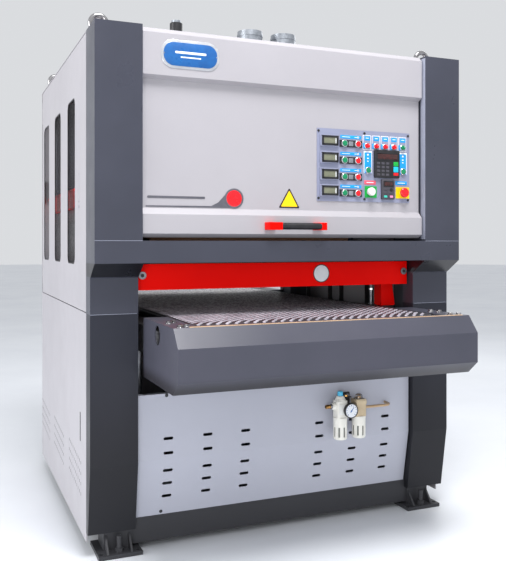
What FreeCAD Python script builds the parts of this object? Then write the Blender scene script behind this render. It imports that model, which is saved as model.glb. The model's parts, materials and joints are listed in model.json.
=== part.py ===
import FreeCAD, Part
import math
import os

# Wide-belt drum sander for boards up to one metre wide, in millimetres.
# X runs across the machine, -Y is the infeed side, +Z is up.
# The origin is on the floor, under the middle of the machine.

V = FreeCAD.Vector

# ---------------------------------------------------------------- body
body_width = 1650.0
body_depth = 1522.0
body_top = 2055.0
table_top = 932.0             # working surface of the feed table at rest
nose_height = 230.0           # depth of the table's boxed ends
sheet = 4.0                   # gauge of every folded panel
seam_height = 948.0           # where the upper casing stands on the lower one
panel_bottom = 53.0
panel_gap = 4.0               # shut line round doors

half_width = body_width / 2
front = -body_depth / 2
rear = body_depth / 2
roof_under = body_top - sheet

# ---------------------------------------------------------------- columns and beam
column_width = 182.0
column_depth = 171.0
lower_column_width = 187.0
lower_setback = 90.0          # lower casing stands back from the upper one
beam_top = 1232.0
beam_height = 86.0
beam_depth = 121.0
beam_chamfer_drop = 58.0
bend_height = 360.0           # lower columns and panel lean back below this
column_foot_setback = 43.0
lower_column_bottom = 91.0

column_inner = half_width - column_width
column_back = front + column_depth
lower_inner = half_width - lower_column_width
lower_front = front + lower_setback
beam_bottom = beam_top - beam_height
beam_back = front + beam_depth

# ---------------------------------------------------------------- welded frame
post_size = 110.0
post_lap = 16.0               # posts start this far inside the front columns
post_gap = 12.0               # between a post and its lower column's inner wall
tube_wall = 6.0
base_rail_bottom = 23.0
base_rail_top = 125.0
base_rail_depth = 80.0
rear_rail_inset = 10.0        # in from the posts' back
side_rail_inset = 15.0        # in from the posts' sides
bracket_lap = 2.0             # short of the column's back edge
top_rail_size = 60.0
jack_inset = 361.0            # jack axis in from the body's front and rear
jack_rail_depth = 100.0
motor_plate_thick = 8.0
motor_plate_x = (106.0, 436.0)

post_inner = lower_inner + post_gap
post_front = column_back - post_lap
post_outer = post_inner + post_size
rear_post_back = rear - sheet
rear_post_front = rear_post_back - post_size
side_rail_inner = post_inner + side_rail_inset
side_rail_outer = side_rail_inner + base_rail_depth
post_centre_x = (post_inner + post_outer) / 2
jack_y = rear - jack_inset

# ---------------------------------------------------------------- feet
foot_thick = 15.0
foot_overhang = 58.0          # plate in front of its post
foot_length = 180.0
foot_width = 173.0
foot_side = 33.0              # plate beside its post, on the inner side
gusset_thick = 8.0
gusset_height = 60.0
gusset_length = 48.0
gusset_inset = 4.0            # in from the post's sides
level_bolt_radius = 10.0
level_bolt_height = 78.0
level_nut_across = 30.0
level_nut_thick = 16.0
level_bolt_out = 29.0         # from the post's face
anchor_hole_radius = 9.0
anchor_hole_inset = 15.0      # from the plate's side edges
anchor_hole_out = 34.0        # from the post's face

foot_inner = post_inner - foot_side

# ---------------------------------------------------------------- lower panel
lower_panel_drop = 82.0       # top edge below the table's noses
lower_panel_setback = 28.0    # behind the lower columns
lower_panel_lean = 43.0       # more setback at its foot
lower_panel_gap = 5.0         # between the panel and each column
panel_return = 24.0
slot_past = 10.0              # cutter runs this far past the panel's foot
slot_length = 41.0
slot_height = 12.0
slot_first_x = 173.0
slot_pitch_x = 167.0
slot_columns = 3
slot_rows = (440.0, 382.0, 310.0, 256.0, 202.0)

lower_panel_top = table_top - nose_height - lower_panel_drop
lower_panel_front = lower_front + lower_panel_setback
lower_panel_foot = lower_panel_front + lower_panel_lean
lower_panel_half = lower_inner - lower_panel_gap

# ---------------------------------------------------------------- front door
door_gap = 6.0                # between the door and each column
door_bottom = 1245.0
door_depth = 51.0
door_inset = 20.0             # proud bands behind the columns' front
door_recess = 25.0            # the middle field is set back this far
door_chamfer = 20.0
upper_band_bottom = 1872.0
upper_band_slope = 13.0
lower_band_top = 1335.0
lower_band_bottom = 1260.0
lower_band_slope_top = 1360.0
hinge_radius = 8.0
hinge_pin_radius = 3.0
hinge_length = 90.0
hinge_gap = 0.5               # between neighbouring knuckles
tongue_gap = 14.0             # roof tongue's edge behind the hinge line
hinge_leaf_half = 3.0         # half the thickness of a hinge leaf
hinge_leaf_length = 20.0      # leaf welded under the roof sheet
hinge_rebate = 19.0           # door's rear top edge below the roof
fold_ease = 2.0               # room left inside a folded edge
running = 0.05                # radial clearance of a running fit
hinge_spots = (-480.0, 0.0, 480.0)

door_half = column_inner - door_gap
door_face = front + door_inset
door_back = door_face + door_depth
door_field = door_face + door_recess
hinge_y = door_back - 4.0
hinge_z = body_top - hinge_radius

# ---------------------------------------------------------------- door handle
handle_z = 1292.0
handle_left = -154.0
handle_right = 133.0
handle_foot_length = 44.0
handle_radius = 14.0
handle_reach = 34.0           # tube centre in front of the door band
handle_foot_lap = 2.0         # feet stand this far round the tube

# ---------------------------------------------------------------- control panel
plate_left = 122.0
plate_right = 586.0
plate_split = 348.0
plate_bottom = 1402.0
plate_top = 1712.0
plate_thick = 3.0
plate_gap = 1.0
meter_x = (134.0, 224.0)
meter_height = 52.0
meter_depth = 12.0
row_heights = (1651.0, 1579.0, 1508.0, 1438.0)
meter_rise = 9.0              # meters sit a little above their push buttons
base_x = (230.0, 341.0)
base_height = 30.0
base_depth = 3.0
start_x = 252.0
stop_x = 318.0
bezel_radius = 15.0
bezel_depth = 8.0
cap_radius = 11.0
cap_depth = 6.0
cap_proud = 2.0
cap_gap = 0.3
cap_travel = 4.0
selector_x0 = 365.0
selector_pitch = 45.7
selector_z = 1646.0
selector_count = 5
selector_radius = 9.5
selector_bezel_radius = 13.0
selector_bezel_depth = 6.0
selector_depth = 16.0
selector_ridge = 5.0
selector_grip_half = 2.5      # half the ridge's thickness
jog_x = (371.0, 551.0)
jog_z = 1540.0
keypad_x = (400.0, 528.0)
keypad_z = (1509.0, 1631.0)
keypad_depth = 14.0
inverter_x = (437.0, 502.0)
inverter_z = (1415.0, 1503.0)
reset_x = 380.0
reset_z = 1446.0
reset_radius = 18.0
estop_x = 549.0
estop_z = 1446.0
estop_radius = 21.0
mushroom_stem = 9.0
mushroom_head = 11.0
mushroom_stand = 14.0         # head's underside above its bezel's seat
mushroom_round = 0.45         # share of the head's depth that is rounded

plate_front = door_field - plate_thick

# ---------------------------------------------------------------- side door
window_width = 200.0
window_bottom = 1133.0
window_top = 1842.0
window_corner = 35.0
window_lap = 12.0
side_hinge_inset_x = 10.0     # pin centre from the outer face
side_hinge_inset_y = 16.0     # pin centre from the outer rear face
side_hinge_radius = 9.0
side_hinge_pin = 4.0
side_hinge_length = 120.0
side_leaf_half = 6.0          # half the thickness of a hinge leaf
side_leaf_lap = 10.0          # leaf's hold on the door sheet
side_hinge_spots = (1060.0, 1500.0, 1940.0)
side_door_rear_gap = 28.0     # door's end in front of the body's rear
latch_inset = 164.0           # behind the column's back edge
latch_bottom = 1392.0
latch_top = 1508.0
latch_width = 22.0
latch_depth = 13.0
latch_gap = 1.5
latch_pocket_wall = 2.0
latch_pin_radius = 3.0

side_door_rear = rear - side_door_rear_gap
latch_y = column_back + latch_inset

# ---------------------------------------------------------------- heads
head_count = 3
first_head_inset = 535.0      # first drum's axis behind the front
last_head_inset = 184.0       # last drum's axis before the rear
sanding_line = 1037.0
work_half = 500.0             # half the abrasive belt's width
abrasive_thick = 1.7
drum_radius = 100.0
drum_overhang = 5.0           # drum beyond the abrasive belt's edge
tension_radius = 60.0
tension_rise = 698.0          # tension roller's axis above the drum's
belt_clearance = 0.3
shaft_radius = 25.0
hanger_gap = 25.0             # between a drum's end and its hanger
hanger_thick = 26.0
hanger_half = 48.0
hanger_below = 48.0           # plate below the drum's axis
beam_red_width = 80.0
beam_red_bottom = 1385.0
beam_red_height = 83.0
beam_red_half = 55.0
pulley_radius = 62.0
pulley_gap = 40.0             # between a post's inner face line and the pulley
pulley_width = 32.0
shaft_end = 6.0               # shaft beyond its pulley
drive_belt_thick = 6.0
motor_z = 330.0
motor_radius = 115.0
motor_length = 430.0
motor_jack_gap = 10.0
motor_stand_inset = 20.0
motor_foot_half = 95.0
motor_shaft_radius = 21.0

head_pitch = (body_depth - first_head_inset - last_head_inset) / (head_count - 1)
head_y = [front + first_head_inset + head_pitch * number for number in range(head_count)]
drum_half = work_half + drum_overhang
hanger_inner = drum_half + hanger_gap
beam_red_inner = post_inner - beam_red_width
pulley_x = (post_inner + pulley_gap, post_inner + pulley_gap + pulley_width)
drum_z = sanding_line + abrasive_thick + belt_clearance + drum_radius
tension_z = drum_z + tension_rise
beam_red_top = beam_red_bottom + beam_red_height

# ---------------------------------------------------------------- feed table
table_reach = 380.0
nose_gap = 18.0               # between the table's noses and each lower column
nose_back = 77.0              # how far the nose boxes reach into the body
nose_top_chamfer = (54.0, 65.0)
nose_low_chamfer = (57.0, 48.0)
nose_front_strip = 54.0
nose_slot_gap = 6.0           # between the feed belt and the slot round it
nose_hole_radius = 36.0
nose_hole_y = 258.0           # behind the nose's face
nose_hole_z = 47.0            # below the table's top
feed_belt_half = 520.0
feed_belt_thick = 5.0
feed_roller_radius = 70.0
feed_axis_inset = 191.0       # roller axis behind the nose's face
feed_shaft_radius = 20.0
feed_shaft_proud = 6.0        # beyond its bracket
bed_thick = 7.7
bed_belt_lap = 5.0            # bed narrower than the belt, each side
bed_end_gap = 90.0            # between the bed's end and a roller's axis
side_beam_width = 80.0
side_beam_height = 110.0
side_beam_drop = 32.0         # below the table's top
side_beam_end_gap = 78.0      # between the beam's end and a roller's axis
cross_member_drop = 4.0       # below the side beams' top
cross_member_height = 62.0
cross_member_inset = 220.0    # outer members in from the bed's ends
cross_member_width = 60.0
bracket_inset = 20.0
bracket_thick = 36.0
bracket_reach = 42.0
screw_radius = 20.0
screw_bottom = 90.0
jack_height = 110.0
jack_half = 50.0
screw_hole_clearance = 8.0

nose_face = rear + table_reach
nose_half = lower_inner - nose_gap
nose_bottom = table_top - nose_height
nose_slot_half = feed_belt_half + nose_slot_gap
feed_axis_y = nose_face - feed_axis_inset
feed_axis_z = table_top - feed_belt_thick - feed_roller_radius
bed_half_width = feed_belt_half - bed_belt_lap
bed_half_length = feed_axis_y - bed_end_gap
side_beam_outer = nose_half - sheet
side_beam_inner = side_beam_outer - side_beam_width
side_beam_z = (table_top - side_beam_drop - side_beam_height, table_top - side_beam_drop)
side_beam_half = feed_axis_y - side_beam_end_gap
member_top = side_beam_z[1] - cross_member_drop
cross_member_y = bed_half_length - cross_member_inset
bracket_x = (side_beam_inner + bracket_inset, side_beam_inner + bracket_inset + bracket_thick)
feed_shaft_half = bracket_x[1] + feed_shaft_proud
jack_x = (side_beam_inner + side_beam_outer) / 2
motor_x = (jack_x - jack_half - motor_jack_gap - motor_length, jack_x - jack_half - motor_jack_gap)

# ---------------------------------------------------------------- safety bar
bar_side_gap = 6.0            # between the bar and each lower column
bar_bottom = 1035.0
bar_top = 1139.0
bar_inset = 130.0             # behind the body's front
bar_thick = 12.0
bar_bolt_inset = 20.0         # in from the bar's end
bar_bolt_z = 1094.0
bar_bolt_radius = 7.0
bar_travel = 8.0
bar_head_radius = 15.0
bar_head_thick = 6.0
bar_gap = 0.3
bar_bracket_width = 46.0
bar_bracket_half = 34.0      # half its height

bar_half = lower_inner - bar_side_gap
bar_front = front + bar_inset
bar_bolt_x = bar_half - bar_bolt_inset

# ---------------------------------------------------------------- roof
dust_x = (18.0, 192.0)
dust_radius = 60.0
dust_wall = 2.0
dust_top = 2230.0
dust_flange = 82.0
dust_flange_thick = 3.0
pipe_below = 5.0              # pipe end under the roof sheet
gland_x = -349.0
gland_radius = 22.0
gland_base_radius = 31.0
gland_base_height = 34.0
gland_top = 2244.0
eye_side_inset = 56.0         # in from the body's side
eye_rear_inset = 121.0        # in from the body's rear
eye_ring_radius = 32.0
eye_wire_radius = 11.0
eye_collar_radius = 24.0
eye_collar_height = 14.0
eye_shank_radius = 8.0
eye_shank_length = 30.0
eye_ring_sink = 3.0           # ring sunk into its collar
hole_ease = 0.1               # radial room of a bolt in its sheet

eye_x = half_width - eye_side_inset
eye_front_y = post_front + post_size / 2
eye_rear_y = rear - eye_rear_inset

# ---------------------------------------------------------------- air unit
air_reach = 58.0              # unit's axis in front of the lower panel
regulator_x = 244.0
lubricator_x = 336.0
air_body_half = 25.0
air_body_drop = 75.0          # bodies' top below the lower panel's top
air_body_height = 75.0
bowl_radius = 30.0
bowl_length = 95.0
bonnet_radii = (22.0, 16.0)   # cone over the regulator's body
bonnet_height = 18.0
knob_radius = 12.0
knob_height = 20.0
dome_radius = 17.0
dome_height = 22.0
gauge_x = 291.0
gauge_rise = 27.0             # above the bodies' underside
gauge_radius = 32.0
gauge_depth = 20.0
gauge_stem_radius = 7.0
gauge_gap = 3.0               # gauge's back in front of the bodies
link_half = 14.0              # half the depth of the block between the bodies
link_rise = (14.0, 42.0)      # above the bodies' underside
inlet_rise = 50.0
inlet_length = 46.0
inlet_radius = 11.0
inlet_bore = 6.1
inlet_bore_depth = 26.0
air_tube_radius = 6.0
air_tube_rise = 34.0
air_tube_end_x = 505.0
air_tube_bend = 36.0

air_y = lower_panel_front - air_reach
air_body_z = (lower_panel_top - air_body_drop - air_body_height, lower_panel_top - air_body_drop)
bowl_bottom = air_body_z[0] - bowl_length
gauge_z = air_body_z[0] + gauge_rise
link_z = (air_body_z[0] + link_rise[0], air_body_z[0] + link_rise[1])
inlet_z = air_body_z[0] + inlet_rise
air_tube_z = air_body_z[0] + air_tube_rise


# ---------------------------------------------------------------- helpers
def box(x0, x1, y0, y1, z0, z1):
    return Part.makeBox(x1 - x0, y1 - y0, z1 - z0, V(x0, y0, z0))


def rod(x, y, z, direction, radius, length):
    return Part.makeCylinder(radius, length, V(x, y, z), direction)


def rod_x(x0, x1, y, z, radius):
    return rod(x0, y, z, V(1, 0, 0), radius, x1 - x0)


def rod_y(x, y0, y1, z, radius):
    return rod(x, y0, z, V(0, 1, 0), radius, y1 - y0)


def rod_z(x, y, z0, z1, radius):
    return rod(x, y, z0, V(0, 0, 1), radius, z1 - z0)


def prism_x(points, x0, x1):
    """Extrude a (y, z) outline from x0 to x1."""
    corners = [V(x0, y, z) for y, z in points]
    face = Part.Face(Part.makePolygon(corners + corners[:1]))
    return face.extrude(V(x1 - x0, 0, 0))


def join(shapes):
    whole = shapes[0]
    if len(shapes) > 1:
        whole = whole.multiFuse(shapes[1:])
    return whole.removeSplitter()


def mirror_x(shape):
    return shape.mirror(V(0, 0, 0), V(1, 0, 0))


def mirror_y(shape):
    return shape.mirror(V(0, 0, 0), V(0, 1, 0))


def both_sides(shape):
    return [shape, mirror_x(shape)]


def save(node, solids):
    flat = []
    for solid in solids:
        flat.extend(solid.Solids)
    shape = flat[0]
    if len(flat) > 1:
        shape = Part.makeCompound(flat)
    if not shape.isValid():
        raise RuntimeError(node + " is not a valid shape")
    shape.exportStep("parts/" + node + ".step")


def tube_x(x0, x1, y0, y1, z0, z1):
    inner = box(x0 - 1, x1 + 1, y0 + tube_wall, y1 - tube_wall, z0 + tube_wall, z1 - tube_wall)
    return box(x0, x1, y0, y1, z0, z1).cut(inner)


def tube_y(x0, x1, y0, y1, z0, z1):
    inner = box(x0 + tube_wall, x1 - tube_wall, y0 - 1, y1 + 1, z0 + tube_wall, z1 - tube_wall)
    return box(x0, x1, y0, y1, z0, z1).cut(inner)


def tube_z(x0, x1, y0, y1, z0, z1):
    inner = box(x0 + tube_wall, x1 - tube_wall, y0 + tube_wall, y1 - tube_wall, z0 - 1, z1 + 1)
    return box(x0, x1, y0, y1, z0, z1).cut(inner)


def hull_of_circles(y0, z0, r0, y1, z1, r1, x0, x1):
    """Solid whose outline is an open belt round two circles, r0 >= r1."""
    run = math.hypot(y1 - y0, z1 - z0)
    along = V(0, (y1 - y0) / run, (z1 - z0) / run)
    across = V(0, along.z, -along.y)
    lean = math.asin((r0 - r1) / run)
    c0 = V(x0, y0, z0)
    c1 = V(x0, y1, z1)

    def tangent(side):
        return across * (side * math.cos(lean)) + along * math.sin(lean)

    a0 = c0 + tangent(1) * r0
    a1 = c1 + tangent(1) * r1
    b1 = c1 + tangent(-1) * r1
    b0 = c0 + tangent(-1) * r0
    edges = [
        Part.LineSegment(a0, a1).toShape(),
        Part.Arc(a1, c1 + along * r1, b1).toShape(),
        Part.LineSegment(b1, b0).toShape(),
        Part.Arc(b0, c0 - along * r0, a0).toShape(),
    ]
    return Part.Face(Part.Wire(edges)).extrude(V(x1 - x0, 0, 0))


def loop(y0, z0, r0, y1, z1, r1, thick, x0, x1):
    """Belt of the given thickness whose inner radii are r0 and r1."""
    outer = hull_of_circles(y0, z0, r0 + thick, y1, z1, r1 + thick, x0, x1)
    return outer.cut(hull_of_circles(y0, z0, r0, y1, z1, r1, x0 - 1, x1 + 1))


def hexagon_z(x, y, z0, across, thick):
    reach = across / math.sqrt(3)
    corners = []
    for step in range(6):
        angle = math.radians(60 * step)
        corners.append(V(x + reach * math.cos(angle), y + reach * math.sin(angle), z0))
    return Part.Face(Part.makePolygon(corners + corners[:1])).extrude(V(0, 0, thick))


# ---------------------------------------------------------------- welded frame
def frame_tubes():
    solids = []
    for y0 in (post_front, rear_post_front):
        post = tube_z(post_inner, post_outer, y0, y0 + post_size, foot_thick, roof_under)
        solids += both_sides(post)
    front_rail = tube_x(-post_inner, post_inner, lower_panel_foot, lower_panel_foot + base_rail_depth,
                        base_rail_bottom, base_rail_top)
    notch = box(lower_inner, lower_inner + sheet, lower_panel_foot - 1, column_back,
                lower_column_bottom, base_rail_top + 1)
    solids.append(front_rail.cut(both_sides(notch)))
    rear_rail_y = rear_post_back - rear_rail_inset - base_rail_depth
    solids.append(tube_x(-post_inner, post_inner, rear_rail_y, rear_rail_y + base_rail_depth,
                         base_rail_bottom, base_rail_top))
    side_rail = tube_y(side_rail_inner, side_rail_outer, post_front + post_size, rear_post_front,
                       base_rail_bottom, base_rail_top)
    solids += both_sides(side_rail)
    for y in (-jack_y, jack_y):
        rail = tube_x(-side_rail_inner, side_rail_inner, y - jack_rail_depth / 2,
                      y + jack_rail_depth / 2, base_rail_bottom, base_rail_top)
        for x in (-jack_x, jack_x):
            rail = rail.cut(rod_z(x, y, 0, base_rail_top + 1, screw_radius + screw_hole_clearance))
        solids.append(rail)
    rail_bottom = roof_under - top_rail_size
    for y0 in (column_back, rear_post_back - top_rail_size):
        solids.append(tube_x(-post_inner, post_inner, y0, y0 + top_rail_size, rail_bottom, roof_under))
    top_side = tube_y(post_inner, post_inner + top_rail_size, post_front + post_size, rear_post_front,
                      rail_bottom, roof_under)
    solids += both_sides(top_side)
    plate_back = head_y[-1] + motor_foot_half
    solids.append(box(motor_plate_x[0], motor_plate_x[1], -jack_y - jack_rail_depth / 2, plate_back,
                      base_rail_top, base_rail_top + motor_plate_thick))
    bracket = box(lower_inner - bar_bracket_width, lower_inner, bar_front + bar_thick + bar_gap,
                  column_back - bracket_lap, bar_bolt_z - bar_bracket_half, bar_bolt_z + bar_bracket_half)
    bracket = bracket.cut(rod_y(bar_bolt_x, bar_front, column_back, bar_bolt_z,
                                bar_bolt_radius + hole_ease))
    solids += both_sides(bracket)
    save("frame_tubes", solids)


def foot(face_y, outward):
    """Foot plate under a post whose outward face lies at face_y."""
    edge = face_y + outward * foot_overhang
    y0 = min(edge, edge - outward * foot_length)
    plate = box(foot_inner, foot_inner + foot_width, y0, y0 + foot_length, 0, foot_thick)
    bolt_y = face_y + outward * level_bolt_out
    hole_y = face_y + outward * anchor_hole_out
    plate = plate.cut(rod_z(post_centre_x, bolt_y, -1, foot_thick + 1, level_bolt_radius))
    for x in (foot_inner + anchor_hole_inset, foot_inner + foot_width - anchor_hole_inset):
        plate = plate.cut(rod_z(x, hole_y, -1, foot_thick + 1, anchor_hole_radius))
    pieces = [plate]
    tip = face_y + outward * gusset_length
    outline = [(face_y, foot_thick), (tip, foot_thick), (face_y, foot_thick + gusset_height)]
    for x in (post_inner + gusset_inset, post_outer - gusset_inset - gusset_thick):
        pieces.append(prism_x(outline, x, x + gusset_thick))
    return join(pieces)


def feet():
    solids = both_sides(foot(post_front, -1)) + both_sides(foot(rear_post_back, 1))
    save("feet", solids)


def anchor_bolts():
    solids = []
    for y in (post_front - level_bolt_out, rear_post_back + level_bolt_out):
        bolt = rod_z(post_centre_x, y, 0, level_bolt_height, level_bolt_radius)
        nut = hexagon_z(post_centre_x, y, foot_thick, level_nut_across, level_nut_thick)
        solids += both_sides(join([bolt, nut]))
    save("anchor_bolts", solids)


# ---------------------------------------------------------------- casing
def upper_columns():
    shell = box(column_inner, half_width, front, column_back, beam_top, body_top)
    inside = box(column_inner + sheet, half_width - sheet, front + sheet, column_back + 1,
                 beam_top - 1, roof_under)
    save("upper_columns", both_sides(shell.cut(inside)))


def cross_beam():
    chamfer_bottom = beam_bottom - beam_chamfer_drop
    outline = [(front, beam_top), (front, beam_bottom), (lower_front, chamfer_bottom),
               (lower_front, seam_height), (column_back, seam_height), (column_back, beam_top)]
    inside = [(front + sheet, beam_top + 1), (front + sheet, beam_bottom),
              (lower_front + sheet, chamfer_bottom), (lower_front + sheet, seam_height - 1),
              (column_back + 1, seam_height - 1), (column_back + 1, beam_top + 1)]
    end = prism_x(outline, lower_inner, half_width)
    end = end.cut(prism_x(inside, lower_inner + sheet, half_width - sheet))
    middle = box(-lower_inner, lower_inner, front, beam_back, beam_bottom, beam_top)
    middle = middle.cut(box(-lower_inner - 1, lower_inner + 1, front + sheet, beam_back + 1,
                            beam_bottom + sheet, beam_top - sheet))
    save("cross_beam", [join(both_sides(end) + [middle])])


def lower_columns():
    foot_y = lower_front + column_foot_setback
    outline = [(lower_front, seam_height), (lower_front, bend_height), (foot_y, lower_column_bottom),
               (column_back, lower_column_bottom), (column_back, seam_height)]
    inside = [(lower_front + sheet, seam_height + 1), (lower_front + sheet, bend_height),
              (foot_y + sheet, lower_column_bottom - 1), (column_back + 1, lower_column_bottom - 1),
              (column_back + 1, seam_height + 1)]
    shell = prism_x(outline, lower_inner, half_width)
    shell = shell.cut(prism_x(inside, lower_inner + sheet, half_width - sheet))
    save("lower_columns", both_sides(shell))


def lower_front_panel():
    back = lower_panel_front + sheet
    outline = [(lower_panel_front, lower_panel_top), (lower_panel_front, bend_height),
               (lower_panel_foot, base_rail_top), (lower_panel_foot + sheet, base_rail_top),
               (back, bend_height), (back, lower_panel_top - sheet),
               (back + panel_return, lower_panel_top - sheet), (back + panel_return, lower_panel_top)]
    panel = prism_x(outline, -lower_panel_half, lower_panel_half)
    half = slot_length / 2 - slot_height / 2
    for z in slot_rows:
        for step in range(slot_columns):
            x = slot_first_x + step * slot_pitch_x
            cutter = box(x - half, x + half, lower_panel_front - 1, lower_panel_foot + slot_past,
                         z - slot_height / 2, z + slot_height / 2)
            for end in (x - half, x + half):
                cutter = cutter.fuse(rod_y(end, lower_panel_front - 1, lower_panel_foot + slot_past,
                                           z, slot_height / 2))
            panel = panel.cut(both_sides(cutter))
    save("lower_front_panel", [panel])


def side_panels():
    low = box(half_width - sheet, half_width, column_back, rear - sheet, panel_bottom, seam_height)
    high = box(half_width - sheet, half_width, column_back, rear - sheet, seam_height, roof_under)
    save("side_panels", both_sides(low) + [high])


def top_cover():
    cover = box(-half_width, half_width, column_back, rear, roof_under, body_top)
    tongue = box(-column_inner, column_inner, hinge_y + tongue_gap, column_back, roof_under, body_top)
    shapes = [cover, tongue]
    for x in hinge_spots:
        for side in (-1, 1):
            x0 = x + side * (hinge_length / 3 + hinge_gap) - (side < 0) * hinge_length / 3
            knuckle = rod_x(x0, x0 + hinge_length / 3, hinge_y, hinge_z, hinge_radius)
            leaf = box(x0, x0 + hinge_length / 3, hinge_y, hinge_y + hinge_leaf_length, roof_under,
                       body_top)
            shapes.append(knuckle)
            shapes.append(leaf)
    cover = join(shapes)
    for x in hinge_spots:
        cover = cover.cut(rod_x(x - hinge_length, x + hinge_length, hinge_y, hinge_z, hinge_pin_radius))
    for y in head_y:
        for x in dust_x:
            cover = cover.cut(rod_z(x, y, roof_under - 1, body_top + 1, dust_radius + hole_ease))
    cover = cover.cut(rod_z(gland_x, head_y[0], roof_under - 1, body_top + 1, gland_radius + hole_ease))
    for x, y in eye_places():
        cover = cover.cut(rod_z(x, y, roof_under - 1, body_top + 1, eye_shank_radius + hole_ease))
    save("top_cover", [cover])


def side_hinge_x():
    return -half_width + side_hinge_inset_x


def rear_panel():
    panel = box(-half_width, half_width, rear - sheet, rear, lower_column_bottom, roof_under)
    panel = panel.cut(box(-lower_panel_half, lower_panel_half, rear - sheet - 1, rear + 1,
                          lower_panel_top, beam_bottom))
    shapes = [panel]
    x = side_hinge_x()
    y = rear - side_hinge_inset_y
    third = side_hinge_length / 3
    for z in side_hinge_spots:
        for z0 in (z - 1.5 * third - hinge_gap, z + 0.5 * third + hinge_gap):
            shapes.append(rod_z(x, y, z0, z0 + third, side_hinge_radius))
            shapes.append(box(x - side_leaf_half, x + side_leaf_half, y, rear - sheet, z0, z0 + third))
    panel = join(shapes)
    for z in side_hinge_spots:
        panel = panel.cut(rod_z(x, y, z - side_hinge_length, z + side_hinge_length, side_hinge_pin))
    save("rear_panel", [panel])


def eye_places():
    return [(side * eye_x, y) for y in (eye_front_y, eye_rear_y) for side in (-1, 1)]


def lifting_eyes():
    solids = []
    for x, y in eye_places():
        ring_z = body_top + eye_collar_height + eye_ring_radius - eye_ring_sink
        ring = Part.makeTorus(eye_ring_radius, eye_wire_radius, V(x, y, ring_z), V(0, 1, 0))
        collar = rod_z(x, y, body_top, body_top + eye_collar_height, eye_collar_radius)
        shank = rod_z(x, y, body_top - eye_shank_length, body_top, eye_shank_radius)
        solids.append(ring.multiFuse([collar, shank]))
    save("lifting_eyes", solids)


def roof_ports():
    solids = []
    for y in head_y:
        for x in dust_x:
            pipe = rod_z(x, y, roof_under - pipe_below, dust_top, dust_radius)
            flange = rod_z(x, y, body_top, body_top + dust_flange_thick, dust_flange)
            bore = rod_z(x, y, roof_under - pipe_below - 1, dust_top + 1, dust_radius - dust_wall)
            solids.append(join([pipe, flange]).cut(bore))
    base = rod_z(gland_x, head_y[0], body_top, body_top + gland_base_height, gland_base_radius)
    stack = rod_z(gland_x, head_y[0], roof_under - pipe_below, gland_top, gland_radius)
    solids.append(join([base, stack]))
    save("roof_ports", solids)


# ---------------------------------------------------------------- front door
def front_door():
    rebate = body_top - hinge_rebate
    outline = [(door_face + door_chamfer, body_top), (door_face, body_top - door_chamfer),
               (door_face, upper_band_bottom), (door_field, upper_band_bottom - upper_band_slope),
               (door_field, lower_band_slope_top), (door_face, lower_band_top),
               (door_face, lower_band_bottom), (door_field, door_bottom), (door_back, door_bottom),
               (door_back, rebate), (hinge_y - hinge_radius - 1, rebate),
               (hinge_y - hinge_radius - 1, body_top)]
    skin = sheet - 1
    ceiling = rebate - skin
    inside = [(door_face + door_chamfer + 1, ceiling), (door_face + skin, ceiling),
              (door_face + skin, upper_band_bottom + fold_ease),
              (door_field + skin, upper_band_bottom - upper_band_slope),
              (door_field + skin, lower_band_slope_top), (door_face + skin, lower_band_top),
              (door_face + skin, lower_band_bottom + 2 * fold_ease),
              (door_field + skin, door_bottom + skin), (door_back + 1, door_bottom + skin),
              (door_back + 1, ceiling)]
    shell = prism_x(outline, -door_half, door_half)
    shell = shell.cut(prism_x(inside, -door_half + skin, door_half - skin))
    shapes = [shell]
    third = hinge_length / 3
    for x in hinge_spots:
        shapes.append(rod_x(x - third, x + third, hinge_y, hinge_z, hinge_radius))
        shapes.append(box(x - third, x + third, hinge_y - hinge_radius - 2, hinge_y,
                          hinge_z - hinge_leaf_half, hinge_z + hinge_leaf_half))
    door = join(shapes)
    for x in hinge_spots:
        door = door.cut(rod_x(x - third - 1, x + third + 1, hinge_y, hinge_z,
                              hinge_pin_radius + running))
    save("front_door", [door])


def door_handle():
    y = door_face - handle_reach
    half = handle_radius + handle_foot_lap
    left = box(handle_left, handle_left + handle_foot_length, y - half, door_face, handle_z - half,
               handle_z + half)
    right = box(handle_right - handle_foot_length, handle_right, y - half, door_face, handle_z - half,
                handle_z + half)
    grip = rod_x(handle_left + handle_foot_length, handle_right - handle_foot_length, y, handle_z,
                 handle_radius)
    save("door_handle", [left, grip, right])


def hinge_pins():
    solids = []
    third = hinge_length / 3
    for x in hinge_spots:
        solids.append(rod_x(x - 2 * third - hinge_gap, x + 2 * third + hinge_gap, hinge_y, hinge_z,
                            hinge_pin_radius))
    y = rear - side_hinge_inset_y
    half = side_hinge_length / 2 + hinge_gap
    for z in side_hinge_spots:
        solids.append(rod_z(side_hinge_x(), y, z - half, z + half, side_hinge_pin))
    back = column_back - bracket_lap
    face = bar_front - bar_gap
    bolt = rod_y(bar_bolt_x, face, back, bar_bolt_z, bar_bolt_radius)
    head = rod_y(bar_bolt_x, face - bar_head_thick, face, bar_bolt_z, bar_head_radius)
    solids += both_sides(join([bolt, head]))
    save("hinge_pins", solids)


# ---------------------------------------------------------------- control panel
def button_places():
    places = []
    for row, z in enumerate(row_heights):
        places.append(("start_button_%d" % (row + 1), start_x, z))
        places.append(("stop_button_%d" % (row + 1), stop_x, z))
    places.append(("table_up_button", jog_x[0], jog_z))
    places.append(("table_down_button", jog_x[1], jog_z))
    return places


def seat_y(name):
    """Face on which a control's bezel stands: a base block or the bare plate."""
    if name.startswith("table"):
        return plate_front
    return plate_front - base_depth


def selector_x(number):
    return selector_x0 + selector_pitch * number


def control_plates():
    left = box(plate_left, plate_split - plate_gap / 2, plate_front, door_field, plate_bottom, plate_top)
    right = box(plate_split + plate_gap / 2, plate_right, plate_front, door_field, plate_bottom,
                plate_top)
    save("control_plates", [left, right])


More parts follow.
